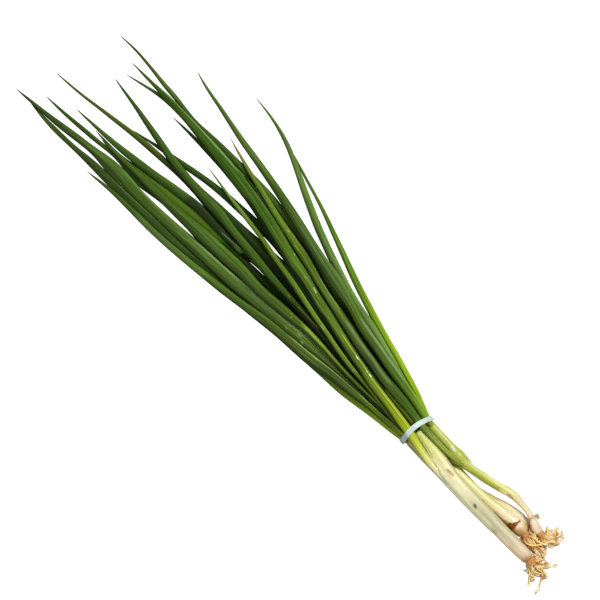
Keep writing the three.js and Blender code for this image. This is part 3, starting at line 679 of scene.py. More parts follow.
@dataclass
class TubePainter:
    """Makes the material of a stem or leaf from its finish.

    Spans are where on the way round an effect sets in and where it is full, with 0.5 at the top.
    """

    effects: Effects
    layout: Layout
    rib_waver: float = 22.0
    thread_waver: float = 30.0
    thread_share: float = 0.4
    patch_scale: float = 120.0
    painted_shade_span: tuple[float, float] = (0.43, 0.5)
    painted_light_span: tuple[float, float] = (0.53, 0.61)
    flank_shade_middle: float = 0.56
    flank_shade_span: tuple[float, float] = (0.16, 0.29)
    speck_scale: float = 420.0
    speck_colour: int = 0xC8D2A0
    speck_strength: float = 0.35
    rib_height: float = 0.00012
    coat_roughness: float = 0.3
    depth_of_light: float = 0.003

    def material(self, tube: "Tube", seed: float) -> bpy.types.Material:
        """Build a material.

        Args:
            tube: The stem or leaf.
            seed: Makes this piece's ribs and patches its own.

        Returns:
            The material.
        """
        finish = tube.finish
        material, sheet, shader = start_material(f"{tube.name}_skin")
        around, along = sheet.place_on_skin()
        place = sheet.place_in_part()
        on_skin = {"Around": around, "Along": along}
        ribs = self.effects.place(
            sheet, Effect.RIBS, Count=finish.rib_count, Waver=self.rib_waver, Seed=seed, **on_skin
        )
        threads = self.effects.place(
            sheet, Effect.RIBS, Count=finish.rib_count * 2, Waver=self.thread_waver, Seed=seed + 3, **on_skin
        )
        patches = self.effects.place(sheet, Effect.PATCHES, Place=place, Scale=self.patch_scale, Seed=seed)

        colour = self._colour_along(sheet, along, finish.stops)
        colour = sheet.tint(colour, patches, finish.patch_strength, finish.patch_colour)
        rib_tone = sheet.ease(ribs, 0.0, 1.0, 1 - finish.rib_strength, 1 + finish.rib_strength)
        thread_tone = sheet.ease(threads, 0.0, 1.0, 1.0, 1 - finish.thread_strength)
        colour = sheet.mix(1.0, colour, sheet.math("MULTIPLY", rib_tone, thread_tone), "MULTIPLY")
        # Painted shade on the +Y side and painted light on the -Y side, as the light from -Y would fall.
        if finish.painted_shade_side or finish.painted_light_side:
            painted_shade = sheet.ease(around, *self.painted_shade_span, 1 - finish.painted_shade_side, 1.0)
            painted_light = sheet.ease(around, *self.painted_light_span, 1.0, 1 + finish.painted_light_side)
            colour = sheet.mix(1.0, colour, sheet.math("MULTIPLY", painted_shade, painted_light), "MULTIPLY")
        # Painted shade on the sides and underneath.
        aside = sheet.math("ABSOLUTE", sheet.math("SUBTRACT", around, self.flank_shade_middle))
        flank_shade = sheet.ease(aside, *self.flank_shade_span)
        colour = sheet.tint(colour, flank_shade, finish.flank_shade_strength, finish.flank_shade_colour)
        if finish.speck_amount:
            specks = self.effects.place(
                sheet, Effect.SPECKS, Place=place, Scale=self.speck_scale, Amount=finish.speck_amount
            )
            colour = sheet.tint(colour, specks, self.speck_strength, self.speck_colour)
        # Streaks: painted highlights, painted light and painted shade along the tube, and a few lines of its
        # own colour.
        for streak in tube.streaks:
            line = self.effects.place(
                sheet,
                Effect.STREAK,
                Middle=streak.middle,
                Half_Width=streak.half_width,
                Start=streak.start * MM,
                End=streak.end * MM,
                **on_skin,
            )
            colour = sheet.tint(colour, line, streak.strength, streak.colour)
        height = sheet.math("ADD", ribs, sheet.math("MULTIPLY", threads, self.thread_share))
        # Marks: stains, scars, creases and specks, and a few painted glints, patches of painted shade and
        # painted light.
        for mark in tube.marks:
            stroke = self.effects.place(
                sheet,
                Effect.STROKE,
                Place=place,
                Start=self.layout.place(*mark.start),
                End=self.layout.place(*mark.end),
                Half_Width=mark.half_width * MM,
                Softness=mark.softness,
            )
            colour = sheet.tint(colour, stroke, mark.strength, mark.colour)
            if mark.depth:
                height = sheet.math("SUBTRACT", height, sheet.math("MULTIPLY", stroke, mark.depth))

        sheet.feed(shader.inputs["Base Color"], colour)
        gloss = sheet.ease(patches, 0.0, 1.0, finish.roughness - 0.07, finish.roughness + 0.09)
        sheet.feed(shader.inputs["Roughness"], gloss)
        sheet.roughen(shader, height, finish.bump, self.rib_height)
        shader.inputs["Coat Weight"].default_value = finish.coat
        shader.inputs["Coat Roughness"].default_value = self.coat_roughness
        shader.inputs["Specular IOR Level"].default_value = finish.specular
        shader.inputs["Subsurface Weight"].default_value = finish.subsurface
        shader.inputs["Subsurface Radius"].default_value = (1.0, 0.9, 0.45)
        shader.inputs["Subsurface Scale"].default_value = self.depth_of_light
        return material

    @staticmethod
    def _colour_along(
        sheet: NodeSheet, along: bpy.types.NodeSocket, stops: tuple[tuple[float, int], ...]
    ) -> bpy.types.NodeSocket:
        """The skin's colour at each place along the bunch."""
        first, last = stops[0][0], stops[-1][0]
        inputs = {"Value": along, "From Min": first * MM, "From Max": last * MM}
        share = sheet.add("ShaderNodeMapRange", inputs)
        ramp = sheet.add("ShaderNodeValToRGB", {0: share.outputs[0]})
        elements = ramp.color_ramp.elements
        while len(elements) < len(stops):
            elements.new(0.5)
        for element, (x, code) in zip(elements, stops):
            element.position = (x - first) / (last - first)
            element.color = display_colour(code)
        return ramp.outputs[0]


# Stems and leaves


@dataclass
class Tube:
    """What stems and leaves share: a route, and sections that stand across the bunch."""

    name: str
    route: Rows
    finish: TubeFinish
    marks: tuple[Mark, ...] = ()
    streaks: tuple[Streak, ...] = ()
    seed: int = 1
    height_rows: list[tuple[float, float, float]] = field(default_factory=list)

    def read_heights(self, layout: Layout) -> None:
        """Take this tube's heights from its CAD node."""
        self.height_rows = layout.heights(self.name)

    def height_at(self, x: float) -> float:
        """Height of the tube's middle at a place along the bunch."""
        return float(smooth_rows(self.height_rows, np.array([x]))[0, 0])

    def depth(self, places: np.ndarray) -> np.ndarray:
        """Half the depth that the tube's solid has at each place."""
        return smooth_rows(self.height_rows, places)[:, 1]

    def middle(self, places: np.ndarray) -> tuple[np.ndarray, np.ndarray, np.ndarray]:
        """Where the tube's middle runs, and how wide it is.

        Args:
            places: Places along the bunch.

        Returns:
            The middle's y and height, and half the width, at each place.
        """
        read = smooth_rows(self.route, places)
        heights = smooth_rows(self.height_rows, places)[:, 0]
        return read[:, 0], heights, read[:, 1] / 2


@dataclass
class Stem(Tube):
    """A white or yellow-green stem: the wrapped leaf bases of one plant."""

    roundness: float = 0.93
    squareness: float = 2.3
    sides: int = 64
    step: float = 0.9
    root_rounding: float = 2.0
    wrinkle: float = 0.05
    is_open: bool = False
    wall: float = 0.45
    mouth_depth: float = 5.0
    mouth_slant: float = 0.5

    def mesh(self, layout: Layout) -> bpy.types.Mesh:
        """Build the stem, with a hollow mouth where its sheath ends in the open."""
        start, end = self.route[0][0], self.route[-1][0]
        places = np.linspace(start, end, max(2, round((end - start) / self.step)))
        y, z, half_width = self.middle(places)
        angles = turns_from_below(self.sides)
        rise = np.clip((places - start) / self.root_rounding, 0, 1)
        rounding = np.sqrt(np.clip(1 - (1 - rise) ** 2, 0.2, 1))
        ridges = self._ridges(places, angles)
        size = (half_width * rounding)[:, None] * (1 + ridges)
        rings = self._rings(places, y, z, size, angles)
        along = places
        if self.is_open:
            mouth = np.linspace(end - 0.1, end - self.mouth_depth, 6)
            mouth_y, mouth_z, mouth_half = self.middle(mouth)
            shrink = self.wall * (1 + 0.4 * np.arange(len(mouth)))
            inner = np.maximum(mouth_half - shrink, 0.3)[:, None] * np.ones(self.sides)
            rings = np.concatenate([rings, self._rings(mouth, mouth_y, mouth_z, inner, angles)])
            along = np.concatenate([along, mouth])
            rings[:, :, 0] += self.mouth_slant * smooth_step(rings[:, :, 0], end - 12, end) * np.cos(angles)
        return grid_mesh(self.name, layout.to_part(rings), along * MM)

    def _ridges(self, places: np.ndarray, angles: np.ndarray) -> np.ndarray:
        """Shallow lengthwise ridges and slow bulges, as shares of the half width."""
        draw = np.random.default_rng(self.seed)
        total = np.zeros((len(places), len(angles)))
        for count in (3, 5, 8, 13):
            turn = draw.uniform(0, 2 * math.pi)
            drift = draw.uniform(20, 60)
            wave = np.cos(count * angles[None, :] + turn + places[:, None] / drift)
            total += wave * self.wrinkle / count
        return total

    def _rings(
        self, places: np.ndarray, y: np.ndarray, z: np.ndarray, size: np.ndarray, angles: np.ndarray
    ) -> np.ndarray:
        """Rings of the stem's skin, from its middle and its half width at each corner."""
        across, up = squared_circle(angles, self.squareness)
        ring_y = y[:, None] + size * across
        ring_z = z[:, None] + self.roundness * size * up
        return np.stack([np.broadcast_to(places[:, None], ring_y.shape), ring_y, np.maximum(ring_z, 0.0)], -1)


@dataclass
class Leaf(Tube):
    """A long hollow leaf, round or somewhat flattened, that narrows to a fine tip."""

    ridge: float = 0.0
    ridge_at: float = 0.1
    dent: float = 0.0
    dent_at: float = 0.2
    lean: float = 5.0
    squareness: float = 2.5
    sides: int = 28
    step: float = 2.0
    foot_length: float = 10.0
    tip_length: float = 9.0
    thinnest: float = 0.13
    flattest: float = 0.95
    soft_edge: float = 0.25
    evenness: int = 10
    foot_heights: tuple[tuple[float, float], ...] = ()

    def sink_foot(self, stem: Stem) -> None:
        """Carry the leaf's height back into its own stem where its route starts before its solid."""
        first = self.route[0][0]
        start = self.height_rows[0][0]
        if self.foot_heights:
            depth = self.height_rows[0][2]
            own = [(x, height, depth) for x, height in self.foot_heights]
            self.height_rows = own + [row for row in self.height_rows if row[0] > own[-1][0] + 4]
        elif first < start - 1:
            depth = self.height_rows[0][2]
            self.height_rows = [(first, stem.height_at(first), depth), *self.height_rows]

    def mesh(self, layout: Layout) -> bpy.types.Mesh:
        """Build the leaf."""
        start, end = self.route[0][0], self.route[-1][0]
        places = np.linspace(start, end, max(8, round((end - start) / self.step)))
        y, z, half_width = self.middle(places)
        y = soften(y, self.evenness)
        half_width = soften(half_width, self.evenness) + self.soft_edge / 2
        draw = np.random.default_rng(self.seed)
        turns = draw.uniform(0, 2 * math.pi, 4)
        quick, slow = np.sin(places / 9 + turns[0]), np.sin(places / 23 + turns[1])
        half_width = half_width * (1 + 0.015 * quick + 0.01 * slow)
        taper = self._taper(places, start, end)
        half_width = np.maximum(half_width * taper, self.thinnest)
        half_height = np.clip(self.depth(places) * taper, self.thinnest, self.flattest * half_width)
        y = y + 0.06 * np.sin(places / 14 + turns[2]) * smooth_step(places, start, start + 30)
        lean = np.radians(self.lean) * np.sin(places / 37 + turns[3])
        angles = turns_from_below(self.sides)
        across, up = squared_circle(angles, self.squareness)
        is_top = smooth_step(up, 0.0, 0.5)
        ridge = self.ridge * np.exp(-np.abs(across - self.ridge_at) / 0.35) * is_top
        dent = self.dent * np.exp(-(((across - self.dent_at) / 0.3) ** 2)) * is_top
        up = up + ridge - dent
        flat_y = half_width[:, None] * across
        flat_z = half_height[:, None] * up
        turned_y = flat_y * np.cos(lean)[:, None] - flat_z * np.sin(lean)[:, None]
        turned_z = flat_z * np.cos(lean)[:, None] + flat_y * np.sin(lean)[:, None]
        x = np.broadcast_to(places[:, None], turned_y.shape)
        rings = np.stack([x, y[:, None] + turned_y, np.maximum(z[:, None] + turned_z, 0.0)], -1)
        return grid_mesh(self.name, layout.to_part(rings), places * MM)

    def _taper(self, places: np.ndarray, start: float, end: float) -> np.ndarray:
        """How much the leaf narrows at its foot and towards its tip."""
        foot = 0.4 + 0.6 * smooth_step(places, start, start + self.foot_length)
        tip = 0.3 + 0.7 * np.sqrt(np.clip((end - places) / self.tip_length, 0, 1))
        return foot * tip


STEMS = [
    Stem(
        name="onion_1_stem",
        finish=stem_finish(Slot.WHITE_STEM, "white", 0.05),
        seed=11,
        is_open=True,
        # The first two streaks are painted light on the +Y side and the third painted shade on the -Y side,
        # evening out the light from -Y; the thin ones are fine lines of the skin.
        streaks=(
            Streak(0.32, 0.13, -78, -12, 0xFFFAC4, 0.85),
            Streak(0.33, 0.13, -102, -76, 0xF6DEBC, 0.8),
            Streak(0.71, 0.12, -92, -14, 0xC8C494, 0.6),
            Streak(0.52, 0.07, -92, -56, 0xC2BE9C, 0.5),
            Streak(0.42, 0.025, -84, -44, 0xD2CFA6, 0.4),
            Streak(0.6, 0.02, -70, -36, 0xC8C68E, 0.5),
        ),
        route=[
            (-103, 3.8, 6.7), (-100, 3.8, 8.0), (-92, 4.05, 8.6), (-85, 4.2, 8.9), (-78, 4.3, 9.0),
            (-70, 4.1, 8.6), (-50, 4.4, 8.5), (-38, 4.3, 8.7), (-30, 3.6, 9.1), (-20, 1.9, 8.3),
            (-10, 1, 6.5), (-0.8, 0.5, 4.8),
        ],
        marks=(
            Mark((-57.3, 5.9), (-56.2, 5.4), 1.0, 0x5A4A1E, 0.9, 0.5),
            Mark((-55.2, 5.8), (-53.4, 5.8), 0.6, 0xC7A274, 0.6),
            Mark((-34, 2.7), (-29.6, 3.0), 0.85, 0xB08A30, 0.75, 0.7),
            Mark((-31.5, 2.5), (-30, 2.7), 0.5, 0x9A7020, 0.5),
            Mark((-4, 1.3), (-18, 4.2), 0.28, 0x8E9630, 0.7, 0.7, 1.6),
            Mark((-96, 2.2), (-62, 3.3), 0.3, 0xBCB48E, 0.5, 0.8, 0.8),
            Mark((-100, 6.6), (-88, 6.8), 0.8, 0xCFA46C, 0.5, 0.9),
            Mark((-103, 6.2), (-101.4, 5.4), 1.9, 0x9A6418, 0.7, 1.0),
            Mark((-103, 3.0), (-102.4, 3.0), 1.6, 0xB98A3A, 0.6, 1.0),
        ),
    ),
    Stem(
        name="onion_2_stem",
        finish=stem_finish(Slot.WHITE_STEM, "cream", 0.15),
        seed=12,
        route=[
            (-90, -4.8, 6.6), (-87, -4.7, 8.2), (-84, -4.7, 8.6), (-78, -4.4, 8.6), (-70, -3.3, 7.5),
            (-60, -1.6, 6.8), (-45, -0.7, 6.2), (-35, -0.2, 6), (-28, 0.6, 5), (-10, 0.2, 5.4),
            (5, 0.4, 5.5), (20, 0.6, 4.4), (35, 0.8, 3.4), (50, 1.2, 1.8),
        ],
        marks=(
            Mark((-90, -2.0), (-77, -0.9), 1.5, 0xB07A1C, 0.9, 1.0),
            Mark((-88, -4.2), (-86, -3.6), 1.5, 0xA8701C, 0.7, 1.0),
            Mark((-88, -7.4), (-86.6, -7.0), 1.2, 0xC09A5A, 0.7, 1.0),
            Mark((-78, -7.4), (-57, -0.6), 0.4, 0xC4C058, 0.55, 0.9, 1.0),
            Mark((-72, -7.0), (-50, -1.2), 0.4, 0xCCC868, 0.55, 0.9, 0.8),
            Mark((-82, -5.2), (-66, -0.8), 0.35, 0xD2C87C, 0.5, 0.9, 0.8),
            Mark((-76, -1.0), (-68, -0.6), 0.6, 0xB09A3C, 0.6, 0.8),
        ),
    ),
    Stem(
        name="onion_3_stem",
        finish=stem_finish(Slot.YELLOW_STEM, "yellow", 0.3),
        seed=13,
        route=[
            (-89, -9, 4.8), (-86, -9.1, 6.6), (-78, -8.5, 7.4), (-70, -6.8, 7), (-60, -3.9, 5.6),
            (-50, -2.3, 3.5), (-40, -2.2, 3.6), (-25, -3.2, 3.6), (-10, -4.6, 3.6), (5, -5.2, 3.6),
            (20, -6.4, 3.4), (40, -8.2, 2.8), (55, -9.6, 1.8),
        ],
        marks=(
            Mark((-90, -10.2), (-82, -11.4), 0.7, 0xB98A3C, 0.6, 0.9),
            Mark((-78, -10.4), (-60, -5.4), 0.4, 0xC8C250, 0.6, 0.9, 0.8),
            Mark((-82, -9.4), (-64, -4.8), 0.35, 0xD6CC78, 0.5, 0.9),
        ),
    ),
    Stem(
        name="onion_4_stem",
        finish=stem_finish(Slot.YELLOW_STEM, "green", 0.3),
        seed=14,
        streaks=(Streak(0.68, 0.09, -62, -34, 0xF2F0DA, 0.85), Streak(0.4, 0.12, -62, -30, 0x8E9410, 0.8)),
        route=[
            (-96, -11.9, 4.6), (-94, -12, 5.6), (-90, -12.6, 6), (-85, -14.2, 4.2), (-80, -15.5, 3.7),
            (-70, -15.8, 5.2), (-60, -13.4, 6.2), (-50, -10.6, 6.2), (-45, -9.6, 6.2), (-40, -8.4, 6.3),
            (-33, -7.4, 7.6), (-28, -6.9, 9.4), (-21, -8.1, 5.4), (-10, -8.1, 5.2), (-4, -8.2, 5.0),
            (0, -8.1, 4.6), (6, -8.9, 4.4),
        ],
        marks=(
            Mark((-68.5, -13.9), (-65.5, -13.6), 0.8, 0xB07A1E, 0.8, 0.8),
            Mark((-84, -13.6), (-66, -14.4), 0.5, 0xB8AE78, 0.6, 0.9),
            Mark((-33, -9.6), (-31.2, -11.6), 0.3, 0x8C9630, 0.7, 0.6, 1.8),
            Mark((-30, -5.5), (-34.5, -8.5), 0.3, 0xD2D69A, 0.5, 0.8),
            # A painted glint.
            Mark((-24.4, -8.2), (-21.6, -8.5), 0.7, 0xF0F2DE, 0.7, 1.0),
        ),
    ),
    Stem(
        name="onion_5_stem",
        finish=stem_finish(Slot.YELLOW_STEM, "hidden", 0.12),
        seed=15,
        # Painted light on the +Y side, which lies in the shade of onion_1_stem.
        streaks=(Streak(0.36, 0.2, -84, -14, 0xFFFFEC, 0.5),),
        route=[
            (-84, 5.0, 4.6), (-81, 5.2, 5.8), (-75, 5.95, 6.5), (-70, 6.2, 6.8), (-50, 6.9, 6.8),
            (-30, 7, 6.8), (-12, 7, 7.2), (-5, 7, 7.2), (2, 6.8, 6.2), (12, 7.4, 5.2), (25, 8.4, 4.2),
            (44, 10.4, 1.8),
        ],
        marks=(Mark((-27, 9.9), (-4, 9.7), 0.3, 0x6B6F24, 0.45, 1.0),),
    ),
]


def leaf_finish(slot: Slot, stops: str, bloom: float = 0.1, specks: float = 0.0) -> TubeFinish:
    """A leaf's finish.

    Args:
        slot: The record's slot.
        stops: Which run of colours it has.
        bloom: How much pale wax lies on it.
        specks: How much of it has pale specks.

    Returns:
        The finish.
    """
    return TubeFinish(
        slot=slot,
        stops=LEAF_STOPS[stops],
        rib_strength=0.26,
        thread_strength=0.4,
        rib_count=24.0,
        patch_colour=0x7E9E66,
        patch_strength=bloom,
        flank_shade_colour=0x101E03,
        flank_shade_strength=0.6,
        speck_amount=specks,
        roughness=0.5,
        coat=0.0,
        specular=0.08,
        bump=0.35,
        painted_shade_side=0.47,
        painted_light_side=0.3,
    )


LIME = replace(leaf_finish(Slot.BRIGHT_LEAF, "lime", bloom=0.02), painted_light_side=0.1)
BRIGHT = replace(
    leaf_finish(Slot.BRIGHT_LEAF, "bright", bloom=0.05, specks=0.4), painted_shade_side=0.22, painted_light_side=0.08
)
FRESH = leaf_finish(Slot.BRIGHT_LEAF, "fresh", bloom=0.06, specks=0.36)
MID = leaf_finish(Slot.MID_LEAF, "mid", bloom=0.08, specks=0.36)
NEAR = leaf_finish(Slot.MID_LEAF, "near", bloom=0.08, specks=0.36)
EDGE = replace(leaf_finish(Slot.MID_LEAF, "edge", bloom=0.06), flank_shade_strength=0.25, painted_shade_side=0.2)
DARK = replace(leaf_finish(Slot.DARK_LEAF, "dark", bloom=0.1, specks=0.36), painted_shade_side=0.22, painted_light_side=0.04)
BROAD = replace(leaf_finish(Slot.DARK_LEAF, "broad", bloom=0.14, specks=0.42), flank_shade_strength=0.4)
SHADE = leaf_finish(Slot.DARK_LEAF, "shade", bloom=0.03)
BLOOM = leaf_finish(Slot.BLOOM_LEAF, "bloom", bloom=0.14, specks=0.34)
PALE = leaf_finish(Slot.BLOOM_LEAF, "pale", bloom=0.22, specks=0.3)
OLIVE = leaf_finish(Slot.OLIVE_LEAF, "olive", bloom=0.03)
DEEP = leaf_finish(Slot.MID_LEAF, "deep", bloom=0.04, specks=0.3)

